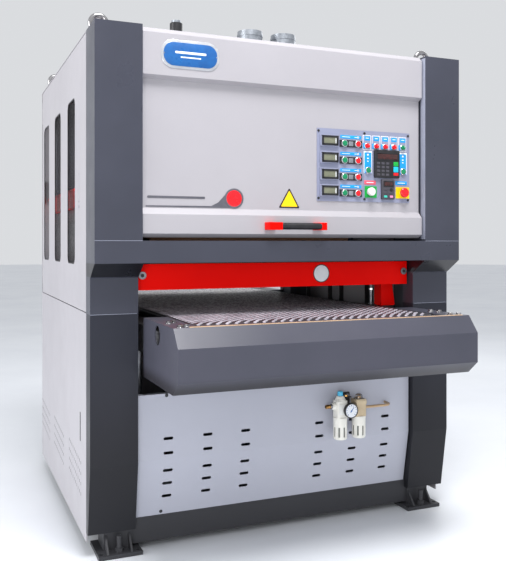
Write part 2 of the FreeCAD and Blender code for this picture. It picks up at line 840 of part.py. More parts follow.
def panel_instruments():
    solids = []
    for z in row_heights:
        middle = z + meter_rise
        solids.append(box(meter_x[0], meter_x[1], plate_front - meter_depth, plate_front,
                          middle - meter_height / 2, middle + meter_height / 2))
    for across, up in ((keypad_x, keypad_z), (inverter_x, inverter_z)):
        solids.append(box(across[0], across[1], plate_front - keypad_depth, plate_front, up[0], up[1]))
    save("panel_instruments", solids)


def bezel(x, z, seat, outer, depth, bore):
    ring = rod_y(x, seat - depth, seat, z, outer)
    return ring.cut(rod_y(x, seat - depth - 1, seat + 1, z, bore))


def control_bases():
    solids = []
    for z in row_heights:
        block = box(base_x[0], base_x[1], plate_front - base_depth, plate_front, z - base_height / 2,
                    z + base_height / 2)
        solids.append(block)
    for name, x, z in button_places():
        solids.append(bezel(x, z, seat_y(name), bezel_radius, bezel_depth, cap_radius + cap_gap))
    for number in range(selector_count):
        solids.append(bezel(selector_x(number), selector_z, plate_front, selector_bezel_radius,
                            selector_bezel_depth, selector_radius + running))
    for x, z in ((reset_x, reset_z), (estop_x, estop_z)):
        solids.append(bezel(x, z, plate_front, bezel_radius, selector_bezel_depth,
                            mushroom_stem + running))
    save("control_bases", solids)


def push_buttons():
    for name, x, z in button_places():
        face = seat_y(name) - bezel_depth - cap_proud
        save(name, [rod_y(x, face, face + cap_depth, z, cap_radius)])


def selectors():
    for number in range(selector_count):
        x = selector_x(number)
        knob = rod_y(x, plate_front - selector_depth, plate_front - cap_gap, selector_z, selector_radius)
        half = selector_radius - 1
        grip = box(x - selector_grip_half, x + selector_grip_half,
                   plate_front - selector_depth - selector_ridge, plate_front - selector_depth,
                   selector_z - half, selector_z + half)
        save("selector_%d" % (number + 1), [join([knob, grip])])


def mushrooms():
    for name, x, z, radius in (("reset_button", reset_x, reset_z, reset_radius),
                               ("emergency_stop", estop_x, estop_z, estop_radius)):
        stem = rod_y(x, plate_front - mushroom_stand, plate_front - cap_travel - 1, z, mushroom_stem)
        face = plate_front - mushroom_stand - mushroom_head
        head = rod_y(x, face, plate_front - mushroom_stand, z, radius)
        rim = [edge for edge in head.Edges if abs(edge.BoundBox.YMax - face) < 0.01]
        head = head.makeFillet(mushroom_head * mushroom_round, rim)
        save(name, [join([head, stem])])


# ---------------------------------------------------------------- side door
def window(y, grow, x0, x1):
    half = window_width / 2 + grow
    pane = box(x0, x1, y - half, y + half, window_bottom - grow, window_top + grow)
    corners = [edge for edge in pane.Edges if abs(edge.BoundBox.XLength - (x1 - x0)) < 0.01]
    return pane.makeFillet(window_corner + grow, corners)


def side_door():
    outer = -half_width
    inner = outer + sheet
    door = box(outer, inner, column_back + panel_gap, side_door_rear, seam_height + panel_gap,
               roof_under - panel_gap)
    for y in head_y:
        door = door.cut(window(y, 0, outer - 1, inner + 1))
    wall = latch_pocket_wall
    half = latch_width / 2 + latch_gap
    low = latch_bottom - latch_gap
    high = latch_top + latch_gap
    deep = outer + latch_depth + latch_gap
    pocket = box(outer, deep + wall, latch_y - half - wall, latch_y + half + wall, low - wall,
                 high + wall)
    shapes = [door, pocket]
    x = side_hinge_x()
    y = rear - side_hinge_inset_y
    third = side_hinge_length / 3
    for z in side_hinge_spots:
        shapes.append(rod_z(x, y, z - third / 2, z + third / 2, side_hinge_radius))
        shapes.append(box(outer, x, side_door_rear - side_leaf_lap, y, z - third / 2, z + third / 2))
    door = join(shapes)
    door = door.cut(box(outer - 1, deep, latch_y - half, latch_y + half, low, high))
    door = door.cut(rod_y(outer + latch_depth / 2, latch_y - half - wall, latch_y + half + wall,
                          latch_bottom + latch_depth / 2, latch_pin_radius + running))
    for z in side_hinge_spots:
        door = door.cut(rod_z(x, y, z - third, z + third, side_hinge_pin + running))
    save("side_door", [door])


def side_windows():
    inner = -half_width + sheet
    save("side_windows", [window(y, window_lap, inner, inner + sheet) for y in head_y])


def side_latch():
    outer = -half_width
    half = latch_width / 2
    lever = box(outer, outer + latch_depth, latch_y - half, latch_y + half, latch_bottom, latch_top)
    knuckle = [edge for edge in lever.Edges
               if edge.BoundBox.ZMax < latch_bottom + 0.01 and edge.BoundBox.YLength > half]
    lever = lever.makeFillet(latch_depth / 2 - 0.2, knuckle)
    reach = half + latch_gap + latch_pocket_wall
    pin = rod_y(outer + latch_depth / 2, latch_y - reach, latch_y + reach,
                latch_bottom + latch_depth / 2, latch_pin_radius)
    save("side_latch", [join([lever, pin])])


# ---------------------------------------------------------------- sanding heads
def head_beams():
    beam = tube_y(beam_red_inner, beam_red_inner + beam_red_width, column_back, rear_post_back,
                  beam_red_bottom, beam_red_top)
    solids = both_sides(beam)
    for y in head_y:
        solids.append(tube_x(-beam_red_inner, beam_red_inner, y - beam_red_half, y + beam_red_half,
                             beam_red_bottom, beam_red_top))
    save("head_beams", solids)


def hanger(y, z0, z1, axis_z):
    plate = box(hanger_inner, hanger_inner + hanger_thick, y - hanger_half, y + hanger_half, z0, z1)
    return plate.cut(rod_x(hanger_inner - 1, hanger_inner + hanger_thick + 1, y, axis_z,
                           shaft_radius + running))


def roller_hangers():
    solids = []
    for y in head_y:
        solids += both_sides(hanger(y, drum_z - hanger_below, beam_red_bottom, drum_z))
        solids += both_sides(hanger(y, beam_red_top, tension_z + hanger_below, tension_z))
    save("roller_hangers", solids)


def contact_drums():
    for number, y in enumerate(head_y):
        face = rod_x(-drum_half, drum_half, y, drum_z, drum_radius)
        shaft = rod_x(-hanger_inner - hanger_thick, pulley_x[1] + shaft_end, y, drum_z, shaft_radius)
        pulley = rod_x(pulley_x[0], pulley_x[1], y, drum_z, pulley_radius)
        save("contact_drum_%d" % (number + 1), [join([face, shaft, pulley])])


def tension_rollers():
    end = hanger_inner + hanger_thick
    for number, y in enumerate(head_y):
        face = rod_x(-drum_half, drum_half, y, tension_z, tension_radius)
        shaft = rod_x(-end, end, y, tension_z, shaft_radius)
        save("tension_roller_%d" % (number + 1), [join([face, shaft])])


def abrasive_belts():
    solids = []
    for y in head_y:
        solids.append(loop(y, drum_z, drum_radius + belt_clearance, y, tension_z,
                           tension_radius + belt_clearance, abrasive_thick, -work_half, work_half))
    save("abrasive_belts", solids)


def drive_motors():
    solids = []
    for y in head_y:
        case = rod_x(motor_x[0], motor_x[1], y, motor_z, motor_radius)
        floor = base_rail_top + motor_plate_thick
        stand = box(motor_plate_x[0] + motor_stand_inset, motor_plate_x[1] - motor_stand_inset,
                    y - motor_foot_half, y + motor_foot_half,
                    floor, motor_z - motor_radius / 2)
        shaft = rod_x(motor_x[1], pulley_x[1] + shaft_end, y, motor_z, motor_shaft_radius)
        pulley = rod_x(pulley_x[0], pulley_x[1], y, motor_z, pulley_radius)
        solids.append(join([case, stand, shaft, pulley]))
    save("drive_motors", solids)


def drive_belts():
    solids = []
    inset = (pulley_x[1] - pulley_x[0]) / 8
    radius = pulley_radius + belt_clearance
    for y in head_y:
        solids.append(loop(y, motor_z, radius, y, drum_z, radius, drive_belt_thick,
                           pulley_x[0] + inset, pulley_x[1] - inset))
    save("drive_belts", solids)


# ---------------------------------------------------------------- feed table
def table_noses():
    top = table_top
    chamfer_y, chamfer_z = nose_top_chamfer
    low_y, low_z = nose_low_chamfer
    face = -nose_face
    back = -rear + nose_back
    outline = [(back, top), (face + chamfer_y, top), (face, top - chamfer_z),
               (face, nose_bottom + low_z), (face + low_y, nose_bottom), (back, nose_bottom)]
    inside = [(back + 1, top - sheet), (face + chamfer_y + 2, top - sheet),
              (face + sheet, top - chamfer_z - 2), (face + sheet, nose_bottom + low_z + 2),
              (face + low_y + 2, nose_bottom + sheet), (back + 1, nose_bottom + sheet)]
    nose = prism_x(outline, -nose_half, nose_half)
    nose = nose.cut(prism_x(inside, -nose_half + sheet, nose_half - sheet))
    nose = nose.cut(box(-nose_slot_half, nose_slot_half, face + chamfer_y + nose_front_strip, back + 1,
                        top - sheet - 1, top + 1))
    nose = nose.cut(rod_x(-nose_half - 1, nose_half + 1, face + nose_hole_y, top - nose_hole_z,
                          nose_hole_radius))
    save("table_noses", [nose, mirror_y(nose)])


def table_bed():
    low, high = side_beam_z
    solids = both_sides(tube_y(side_beam_inner, side_beam_outer, -side_beam_half, side_beam_half, low,
                               high))
    plate_top = table_top - feed_belt_thick - belt_clearance
    plate_bottom = plate_top - bed_thick
    half = cross_member_width / 2
    for y in (-cross_member_y, 0, cross_member_y):
        member = box(-side_beam_inner, side_beam_inner, y - half, y + half,
                     member_top - cross_member_height, member_top)
        riser = box(-bed_half_width, bed_half_width, y - half, y + half, member_top, plate_bottom)
        solids.append(join([member, riser]))
    solids.append(box(-bed_half_width, bed_half_width, -bed_half_length, bed_half_length, plate_bottom,
                      plate_top))
    for y in (-1, 1):
        y0 = min(y * side_beam_half, y * (feed_axis_y + bracket_reach))
        y1 = max(y * side_beam_half, y * (feed_axis_y + bracket_reach))
        bracket = box(bracket_x[0], bracket_x[1], y0, y1, feed_axis_z - bracket_reach,
                      feed_axis_z + bracket_reach)
        bracket = bracket.cut(rod_x(bracket_x[0] - 1, bracket_x[1] + 1, y * feed_axis_y, feed_axis_z,
                                    feed_shaft_radius + running))
        solids += both_sides(bracket)
    save("table_bed", solids)


def feed_rollers():
    for name, y in (("feed_drive_roller", feed_axis_y), ("feed_idler_roller", -feed_axis_y)):
        face = rod_x(-feed_belt_half, feed_belt_half, y, feed_axis_z, feed_roller_radius - belt_clearance)
        shaft = rod_x(-feed_shaft_half, feed_shaft_half, y, feed_axis_z, feed_shaft_radius)
        save(name, [join([face, shaft])])


def feed_belt():
    save("feed_belt", [loop(-feed_axis_y, feed_axis_z, feed_roller_radius, feed_axis_y, feed_axis_z,
                            feed_roller_radius, feed_belt_thick, -feed_belt_half, feed_belt_half)])


def lift_screws():
    solids = []
    for y in (-jack_y, jack_y):
        solids += both_sides(rod_z(jack_x, y, screw_bottom, side_beam_z[0], screw_radius))
    save("lift_screws", solids)


def lift_jacks():
    solids = []
    for y in (-jack_y, jack_y):
        jack = box(jack_x - jack_half, jack_x + jack_half, y - jack_half, y + jack_half, base_rail_top,
                   base_rail_top + jack_height)
        jack = jack.cut(rod_z(jack_x, y, base_rail_top - 1, base_rail_top + jack_height + 1,
                              screw_radius + running))
        solids += both_sides(jack)
    save("lift_jacks", solids)


def safety_bar():
    bar = box(-bar_half, bar_half, bar_front, bar_front + bar_thick, bar_bottom, bar_top)
    radius = bar_bolt_radius + bar_gap
    low = bar_bolt_z - bar_travel
    slot = box(bar_bolt_x - radius, bar_bolt_x + radius, bar_front - 1, bar_front + bar_thick + 1, low,
               bar_bolt_z)
    for z in (low, bar_bolt_z):
        slot = slot.fuse(rod_y(bar_bolt_x, bar_front - 1, bar_front + bar_thick + 1, z, radius))
    save("safety_bar", [bar.cut(both_sides(slot))])


# ---------------------------------------------------------------- air unit
def air_unit():
    low, high = air_body_z
    solids = []
    for x in (regulator_x, lubricator_x):
        solids.append(box(x - air_body_half, x + air_body_half, air_y - air_body_half,
                          air_y + air_body_half, low, high))
        solids.append(rod_z(x, air_y, bowl_bottom, low, bowl_radius))
    solids.append(Part.makeCone(bonnet_radii[0], bonnet_radii[1], bonnet_height,
                                V(regulator_x, air_y, high)))
    solids.append(rod_z(lubricator_x, air_y, high, high + dome_height, dome_radius))
    link_front = air_y - link_half
    link_back = air_y + link_half
    solids.append(box(regulator_x + air_body_half, lubricator_x - air_body_half, link_front, link_back,
                      link_z[0], link_z[1]))
    solids.append(box(gauge_x - link_half, gauge_x + link_half, link_back, lower_panel_front,
                      link_z[0], link_z[1]))
    gauge_back = air_y - air_body_half - gauge_gap
    gauge = rod_y(gauge_x, gauge_back - gauge_depth, gauge_back, gauge_z, gauge_radius)
    stem = rod_y(gauge_x, gauge_back, link_front, gauge_z, gauge_stem_radius)
    solids.append(join([gauge, stem]))
    inlet_end = regulator_x - air_body_half - inlet_length
    inlet = rod_x(inlet_end, regulator_x - air_body_half, air_y, inlet_z, inlet_radius)
    solids.append(inlet.cut(rod_x(inlet_end - 1, inlet_end + inlet_bore_depth, air_y, inlet_z,
                                  inlet_bore)))
    save("air_unit", solids)


def regulator_knob():
    bottom = air_body_z[1] + bonnet_height + cap_gap
    save("regulator_knob", [rod_z(regulator_x, air_y, bottom, bottom + knob_height, knob_radius)])


def air_tube():
    start = V(lubricator_x + air_body_half, air_y, air_tube_z)
    before = V(air_tube_end_x - air_tube_bend, air_y, air_tube_z)
    after = V(air_tube_end_x, air_y + air_tube_bend, air_tube_z)
    end = V(air_tube_end_x, lower_panel_front, air_tube_z)
    lean = air_tube_bend * math.sin(math.pi / 4)
    middle = V(before.x + lean, after.y - lean, air_tube_z)
    path = Part.Wire([Part.LineSegment(start, before).toShape(),
                      Part.Arc(before, middle, after).toShape(),
                      Part.LineSegment(after, end).toShape()])
    ring = Part.Wire([Part.Circle(start, V(1, 0, 0), air_tube_radius).toShape()])
    save("air_tube", [path.makePipeShell([ring], True, False)])


os.makedirs("parts", exist_ok=True)
frame_tubes()
feet()
anchor_bolts()
upper_columns()
cross_beam()
lower_columns()
lower_front_panel()
side_panels()
top_cover()
rear_panel()
lifting_eyes()
roof_ports()
front_door()
door_handle()
hinge_pins()
control_plates()
panel_instruments()
control_bases()
push_buttons()
selectors()
mushrooms()
side_door()
side_windows()
side_latch()
head_beams()
roller_hangers()
contact_drums()
tension_rollers()
abrasive_belts()
drive_motors()
drive_belts()
table_noses()
table_bed()
feed_rollers()
feed_belt()
lift_screws()
lift_jacks()
safety_bar()
air_unit()
regulator_knob()
air_tube()
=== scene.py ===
import json
import math

import bmesh
import bpy
from mathutils import Matrix, Vector


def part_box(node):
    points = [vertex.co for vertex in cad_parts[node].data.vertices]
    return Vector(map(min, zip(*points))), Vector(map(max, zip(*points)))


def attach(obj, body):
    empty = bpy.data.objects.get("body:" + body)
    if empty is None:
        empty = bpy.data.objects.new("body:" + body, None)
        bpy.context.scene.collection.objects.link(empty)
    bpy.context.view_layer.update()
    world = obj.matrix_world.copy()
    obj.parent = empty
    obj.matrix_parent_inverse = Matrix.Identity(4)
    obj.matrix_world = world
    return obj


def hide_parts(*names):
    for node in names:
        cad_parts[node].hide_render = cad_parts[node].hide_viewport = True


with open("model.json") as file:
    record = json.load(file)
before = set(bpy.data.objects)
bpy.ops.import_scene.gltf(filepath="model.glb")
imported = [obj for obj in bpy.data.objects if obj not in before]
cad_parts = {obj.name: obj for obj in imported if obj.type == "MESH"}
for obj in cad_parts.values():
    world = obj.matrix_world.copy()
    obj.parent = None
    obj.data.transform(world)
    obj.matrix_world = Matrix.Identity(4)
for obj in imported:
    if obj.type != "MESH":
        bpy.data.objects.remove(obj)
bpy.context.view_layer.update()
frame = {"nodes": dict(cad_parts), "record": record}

# Shapes are made in millimetres, in the machine's own frame, and scaled once at the end.
MM = 0.001

# Each turns a shape that stands on its local XY plane to face one side of the machine.
FRONT = Matrix(((1, 0, 0, 0), (0, 0, -1, 0), (0, 1, 0, 0), (0, 0, 0, 1)))   # the operator
BACK = Matrix(((-1, 0, 0, 0), (0, 0, 1, 0), (0, 1, 0, 0), (0, 0, 0, 1)))    # the outfeed
LEFT = Matrix(((0, 0, -1, 0), (-1, 0, 0, 0), (0, 1, 0, 0), (0, 0, 0, 1)))
RIGHT = Matrix(((0, 0, 1, 0), (1, 0, 0, 0), (0, 1, 0, 0), (0, 0, 0, 1)))
UP = Matrix.Identity(4)


# ---------------------------------------------------------------- camera, floor and light
def set_camera():
    data = bpy.data.cameras.new("camera")
    data.sensor_width = 36.0
    data.lens = 48.28
    data.shift_y = -0.0677
    camera = bpy.data.objects.new("camera", data)
    camera.location = (-1.3574, -3.5556, 1.225)
    camera.rotation_euler = (math.radians(90), 0, math.radians(-22.68))
    bpy.context.scene.collection.objects.link(camera)
    bpy.context.scene.camera = camera


def soft_light(name, place, aim, size, watts):
    data = bpy.data.lights.new(name, "AREA")
    data.shape = "DISK"
    data.size = size
    data.energy = watts
    lamp = bpy.data.objects.new(name, data)
    lamp.location = place
    lamp.rotation_euler = (Vector(aim) - Vector(place)).to_track_quat("-Z", "Y").to_euler()
    bpy.context.scene.collection.objects.link(lamp)


def set_studio():
    world = bpy.data.worlds.new("studio")
    world.use_nodes = True
    sky = world.node_tree.nodes["Background"]
    sky.inputs["Color"].default_value = (0.95, 0.97, 1.0, 1.0)
    sky.inputs["Strength"].default_value = 0.74
    bpy.context.scene.world = world
    bpy.context.scene.view_settings.view_transform = "Standard"
    soft_light("left_key", (-5.2, -0.6, 2.2), (-0.4, 0.0, 1.1), 3.0, 165.0)
    soft_light("overhead", (-0.2, -2.5, 5.4), (0.0, -1.0, 1.0), 2.0, 270.0)
    soft_light("low_front", (-2.6, -5.4, 0.9), (0.0, 0.0, 1.0), 2.0, 70.0)
    soft_light("rear_fill", (4.5, 3.0, 4.0), (0.0, 0.0, 1.0), 3.0, 60.0)


def lay_floor():
    floor_radius = 40.0
    under_feet = 0.0005     # the floor stays this far below the foot plates
    shape = bmesh.new()
    bmesh.ops.create_circle(shape, cap_ends=True, segments=96, radius=floor_radius)
    mesh = bpy.data.meshes.new("floor")
    shape.to_mesh(mesh)
    shape.free()
    mesh.materials.append(finish("floor_pale", (226, 229, 234), (219, 222, 228), (0.35, 0.5),
                                 patch=0.6, grain=60.0, depth=0.02))
    floor = bpy.data.objects.new("floor", mesh)
    floor.location.z = -under_feet
    bpy.context.scene.collection.objects.link(floor)


# ---------------------------------------------------------------- finishes
def tone(colour):
    """Screen colour, 0 to 255, as the linear colour a shader reads."""
    linear = []
    for value in colour:
        value /= 255
        linear.append(value / 12.92 if value <= 0.04045 else ((value + 0.055) / 1.055) ** 2.4)
    return (linear[0], linear[1], linear[2], 1.0)


def finish(name, colour, shade, rough, patch=2.5, grain=260.0, depth=0.1, stretch=(1, 1, 1),
           fades=(), speckle=None, **fixed):
    """A surface of two close tones in soft patches, with uneven gloss and a fine grain.

    patch and grain are the scales of the two patterns, depth is the grain's strength, and
    stretch draws both out along an axis. fades holds (colour, start height, end height)
    tones mixed in by height; on the beam, noses and lower columns these are painted shade.
    speckle is a third tone in grains, and fixed gives shader inputs by name."""
    material = bpy.data.materials.new(name)
    material.use_nodes = True
    tree = material.node_tree
    shader = tree.nodes["Principled BSDF"]
    for key, value in fixed.items():
        shader.inputs[key.replace("_", " ")].default_value = value

    def add(kind, **values):
        made = tree.nodes.new("ShaderNode" + kind)
        for key, value in values.items():
            made.inputs[key.replace("_", " ")].default_value = value
        return made

    def noise(scale, detail):
        made = add("TexNoise", Scale=scale, Detail=detail, Roughness=0.6)
        tree.links.new(spread.outputs["Vector"], made.inputs["Vector"])
        return made.outputs["Fac"]

    def two_tones(factor, start, end, first, second):
        ramp = add("ValToRGB")
        for stop, place, value in zip(ramp.color_ramp.elements, (start, end), (first, second)):
            stop.position = place
            stop.color = value
        tree.links.new(factor, ramp.inputs["Fac"])
        return ramp.outputs["Color"]

    def mixed(factor, first, second):
        blend = tree.nodes.new("ShaderNodeMix")
        blend.data_type = "RGBA"
        tree.links.new(factor, blend.inputs[0])
        tree.links.new(first, blend.inputs[6])
        blend.inputs[7].default_value = second
        return blend.outputs[2]

    def rescaled(value, start, end, low, high, steps="LINEAR"):
        made = add("MapRange", From_Min=start, From_Max=end, To_Min=low, To_Max=high)
        made.interpolation_type = steps
        tree.links.new(value, made.inputs["Value"])
        return made.outputs["Result"]

    # The noises keep mostly between 0.3 and 0.7, so the ramps lie in that range.
    place = add("TexCoord")
    spread = add("Mapping", Scale=stretch)
    tree.links.new(place.outputs["Object"], spread.inputs["Vector"])
    base = two_tones(noise(patch, 5.0), 0.36, 0.64, tone(shade), tone(colour))
    if speckle:
        dots = two_tones(noise(grain, 2.0), 0.56, 0.62, (0, 0, 0, 1), (1, 1, 1, 1))
        base = mixed(dots, base, tone(speckle))
    for deeper, start, end in fades:
        split = add("SeparateXYZ")
        tree.links.new(place.outputs["Object"], split.inputs["Vector"])
        fade = rescaled(split.outputs["Z"], start, end, 0.0, 0.85, "SMOOTHSTEP")
        base = mixed(fade, base, tone(deeper))
    tree.links.new(base, shader.inputs["Base Color"])
    gloss = rescaled(noise(patch * 3.0, 4.0), 0.3, 0.7, rough[0], rough[1])
    tree.links.new(gloss, shader.inputs["Roughness"])
    bump = add("Bump", Strength=depth, Distance=0.001)
    tree.links.new(noise(grain, 3.0), bump.inputs["Height"])
    tree.links.new(bump.outputs["Normal"], shader.inputs["Normal"])
    return material


def make_finishes():
    """One finish for each of the record's slots, and the small parts' own."""
    made = {}

    def look(name, colour, shade, rough, **rest):
        made[name] = finish(name, colour, shade, rough, **rest)

    # Covers and frame
    slate = dict(patch=1.6, grain=420.0, depth=0.1)
    pale = dict(patch=1.4, grain=420.0, depth=0.1)
    look("frame_paint", (62, 64, 72), (52, 54, 61), (0.38, 0.5),
         fades=[((54, 54, 57), 1.15, 0.15)], Specular_IOR_Level=0.3)
    look("column_paint", (64, 66, 78), (58, 60, 71), (0.26, 0.36), Specular_IOR_Level=0.42, **slate)
    # Lower columns: a darker copy of the column paint, painted shade for the shadow under the
    # overhanging upper columns and beam; the fade makes them darker still towards the bottom.
    look("column_lower_shaded", (47, 48, 58), (42, 44, 53), (0.32, 0.42),
         fades=[((28, 28, 31), 1.0, 0.3)], Specular_IOR_Level=0.25, **slate)
    # Cross beam: the band between 1.091 and 1.147 m high, under its overhang, is darkened as a
    # painted shadow; below it the colour comes back.
    look("beam_paint_shaded_underside", (64, 66, 78), (58, 60, 71), (0.26, 0.36),
         fades=[((12, 12, 15), 1.147, 1.1445), ((66, 68, 80), 1.0935, 1.091)],
         Specular_IOR_Level=0.42, **slate)
    # Table noses: darker below about 0.76 m, painted shade along their lower edge.
    look("nose_paint_shaded_bottom", (72, 72, 84), (66, 67, 78), (0.3, 0.4),
         fades=[((36, 34, 38), 0.765, 0.71)], Specular_IOR_Level=0.42, **slate)
    look("panel_paint", (172, 169, 174), (167, 164, 169), (0.3, 0.4), **pale)
    look("lower_panel", (179, 181, 193), (174, 176, 188), (0.3, 0.4), **pale)
    look("red_paint", (255, 8, 0), (250, 5, 0), (0.34, 0.44), patch=3.0, grain=380.0,
         Specular_IOR_Level=0.08)
    # Pale lines at the cover seams; the same colour on the columns' inner faces beside the door is
    # a painted reflection of the door panel.
    look("pale_seam_and_reflection", (150, 154, 170), (138, 142, 158), (0.3, 0.4), patch=14.0, grain=800.0,
         depth=0.05)
    look("trim_grey", (98, 98, 106), (84, 84, 92), (0.34, 0.46), patch=14.0, grain=800.0,
         depth=0.06)
    look("window_glass", (150, 146, 150), (136, 132, 138), (0.03, 0.07), patch=2.0, grain=30.0,
         depth=0.01, Alpha=0.045, Specular_IOR_Level=0.3)

    # Bare and plated metal
    look("zinc", (168, 169, 173), (126, 128, 134), (0.25, 0.45), patch=40.0, grain=600.0,
         Metallic=1.0)
    look("chrome", (184, 182, 183), (150, 148, 150), (0.14, 0.26), patch=12.0, grain=300.0,
         depth=0.03, Metallic=1.0)
    look("galvanised", (172, 177, 184), (146, 151, 158), (0.3, 0.5), patch=38.0, grain=500.0,
         Metallic=0.85)
    look("table_steel", (150, 150, 153), (120, 120, 124), (0.25, 0.4), patch=4.0, grain=500.0,
         stretch=(1.0, 18.0, 18.0), Metallic=0.9)
    look("roller_aluminium", (200, 201, 204), (172, 173, 177), (0.25, 0.4), patch=5.0,
         grain=500.0, stretch=(24.0, 1.0, 1.0), Metallic=1.0)
    look("motor_cast", (84, 96, 116), (70, 82, 102), (0.45, 0.6), patch=14.0, grain=220.0,
         depth=0.4)
    look("bezel_silver", (228, 230, 234), (212, 214, 220), (0.15, 0.28), patch=30.0,
         grain=900.0, depth=0.04, Metallic=0.75)
    look("brass", (196, 152, 92), (166, 124, 72), (0.22, 0.36), patch=30.0, grain=600.0,
         Metallic=1.0)

    # Rubber and belts
    look("feed_rubber", (56, 55, 60), (42, 41, 45), (0.36, 0.5), patch=8.0, grain=900.0,
         depth=0.35)
    # Feed belt ribs: the pale colour is painted sheen, standing in for highlights on the tops of
    # dark rubber ribs.
    look("rib_rubber_painted_sheen", (186, 180, 190), (146, 140, 150), (0.2, 0.34), patch=14.0, grain=900.0,
         depth=0.2, Specular_IOR_Level=0.8)
    look("roller_rubber", (46, 46, 48), (34, 34, 36), (0.5, 0.7), patch=6.0, grain=700.0,
         depth=0.25, stretch=(1.0, 6.0, 6.0))
    look("belt_rubber", (40, 40, 42), (30, 30, 32), (0.5, 0.65), patch=20.0, grain=600.0)
    look("dark_rubber_and_slot_shade", (44, 44, 48), (34, 34, 37), (0.5, 0.62), patch=20.0, grain=700.0,
         depth=0.15)
    look("abrasive", (164, 118, 84), (146, 102, 72), (0.75, 0.9), patch=5.0, grain=1400.0,
         depth=0.6, speckle=(206, 178, 150))
    look("strip_tan", (206, 176, 144), (190, 158, 126), (0.4, 0.55), patch=12.0, grain=500.0,
         stretch=(1.0, 14.0, 14.0))

    # Control panel
    moulded = dict(patch=30.0, grain=700.0, depth=0.05, Coat_Weight=0.4)
    printed = dict(patch=20.0, grain=900.0, depth=0.04)
    key = dict(patch=40.0, grain=900.0, depth=0.08)
    look("control_plate", (142, 146, 170), (135, 139, 162), (0.3, 0.42), patch=6.0, grain=700.0,
         depth=0.06, Coat_Weight=0.2)
    look("black_plastic", (34, 34, 38), (26, 26, 29), (0.32, 0.46), patch=18.0, grain=900.0,
         depth=0.12)
    look("green_plastic", (0, 140, 88), (0, 126, 80), (0.2, 0.3), **moulded)
    look("red_plastic", (238, 6, 26), (224, 2, 20), (0.2, 0.3), **moulded)
    look("white_plastic", (238, 238, 234), (228, 228, 224), (0.25, 0.36), patch=24.0,
         grain=700.0, depth=0.06, Coat_Weight=0.2)
    look("plaque_blue", (16, 98, 168), (12, 84, 152), (0.25, 0.35), patch=14.0, grain=700.0,
         depth=0.05, Coat_Weight=0.4)
    look("label_blue", (18, 156, 230), (14, 146, 220), (0.35, 0.45), **printed)
    look("label_pink", (228, 92, 112), (218, 82, 102), (0.35, 0.45), **printed)
    look("white_print_and_highlight", (240, 243, 248), (232, 236, 242), (0.35, 0.45), **printed)
    look("bright_green", (16, 168, 66), (12, 156, 60), (0.3, 0.4), **printed)
    look("hazard_yellow", (255, 214, 0), (246, 204, 0), (0.3, 0.4), patch=16.0, grain=900.0,
         depth=0.04)
    look("display_olive", (122, 124, 104), (112, 114, 95), (0.08, 0.14), patch=24.0,
         grain=1200.0, depth=0.02, Coat_Weight=0.6)
    look("display_dark", (70, 24, 22), (44, 14, 14), (0.08, 0.16), patch=60.0, grain=1200.0,
         depth=0.02, Coat_Weight=0.6)
    look("key_grey", (74, 72, 80), (62, 60, 68), (0.4, 0.5), patch=40.0, grain=900.0, depth=0.1)
    look("key_cyan", (20, 190, 226), (14, 178, 214), (0.35, 0.45), **key)
    look("key_teal", (70, 206, 186), (60, 194, 174), (0.35, 0.45), **key)
    look("key_pink", (240, 150, 190), (230, 138, 180), (0.35, 0.45), **key)

    # Air unit
    look("air_housing", (240, 238, 230), (232, 230, 222), (0.3, 0.42), patch=16.0, grain=800.0,
         depth=0.08)
    look("housing_tan", (214, 196, 164), (202, 182, 150), (0.35, 0.5), patch=24.0, grain=700.0,
         depth=0.15)
    look("air_tube", (196, 166, 130), (182, 150, 114), (0.3, 0.45), patch=30.0, grain=500.0,
         Coat_Weight=0.2)
    look("knob_blue", (90, 196, 232), (78, 184, 222), (0.3, 0.4), patch=40.0, grain=800.0,
         depth=0.08)
    look("dome_clear", (236, 236, 238), (226, 226, 230), (0.03, 0.08), patch=20.0, grain=300.0,
         depth=0.02, Transmission_Weight=0.9, IOR=1.4)
    look("bowl_smoke", (128, 130, 124), (112, 114, 108), (0.12, 0.2), patch=20.0, grain=300.0,
         depth=0.03, Coat_Weight=0.5)
    return made


# ---------------------------------------------------------------- shapes
def soften(shape, edges, width, segments=2):
    bmesh.ops.bevel(shape, geom=edges, offset=width, offset_type="OFFSET", segments=segments,
                    profile=0.5, affect="EDGES", clamp_overlap=True, material=-1)


def soften_plate(shape, depth, corner, corner_steps, edge, edge_steps):
    """Round the upright corners of a standing plate, then soften the rim of its face."""
    if corner:
        uprights = [e for e in shape.edges if abs(e.verts[0].co.z - e.verts[1].co.z) > depth / 2]
        soften(shape, uprights, corner, corner_steps)
    if edge:
        rim = [e for e in shape.edges if all(v.co.z > depth * 0.99 for v in e.verts)]
        soften(shape, rim, edge, edge_steps)


def block(width, height, depth, corner=0.0, edge=1.0, segments=4):
    """Plate standing on its local XY plane, with rounded corners and a softened top edge."""
    shape = bmesh.new()
    bmesh.ops.create_cube(shape, size=1.0)
    bmesh.ops.scale(shape, vec=(width, height, depth), verts=shape.verts)
    bmesh.ops.translate(shape, vec=(0, 0, depth / 2), verts=shape.verts)
    soften_plate(shape, depth, corner, segments, edge, 2)
    return shape


def prism(sides, radius, depth, corner=0.0, edge=0.6):
    """Regular prism with a corner towards local +Y."""
    shape = bmesh.new()
    bmesh.ops.create_cone(shape, cap_ends=True, cap_tris=False, segments=sides, radius1=radius,
                          radius2=radius, depth=depth)
    bmesh.ops.translate(shape, vec=(0, 0, depth / 2), verts=shape.verts)
    soften_plate(shape, depth, corner, 3, edge, 1)
    return shape


def turned(profile, steps=32):
    """Turning round local Z from (radius, height) points."""
    shape = bmesh.new()
    points = [shape.verts.new((radius, 0, height)) for radius, height in profile]
    lines = [shape.edges.new(pair) for pair in zip(points, points[1:])]
    bmesh.ops.spin(shape, geom=points + lines, cent=(0, 0, 0), axis=(0, 0, 1), dvec=(0, 0, 0),
                   angle=2 * math.pi, steps=steps, use_merge=True, use_duplicate=False)
    bmesh.ops.remove_doubles(shape, verts=shape.verts, dist=0.001)
    return shape


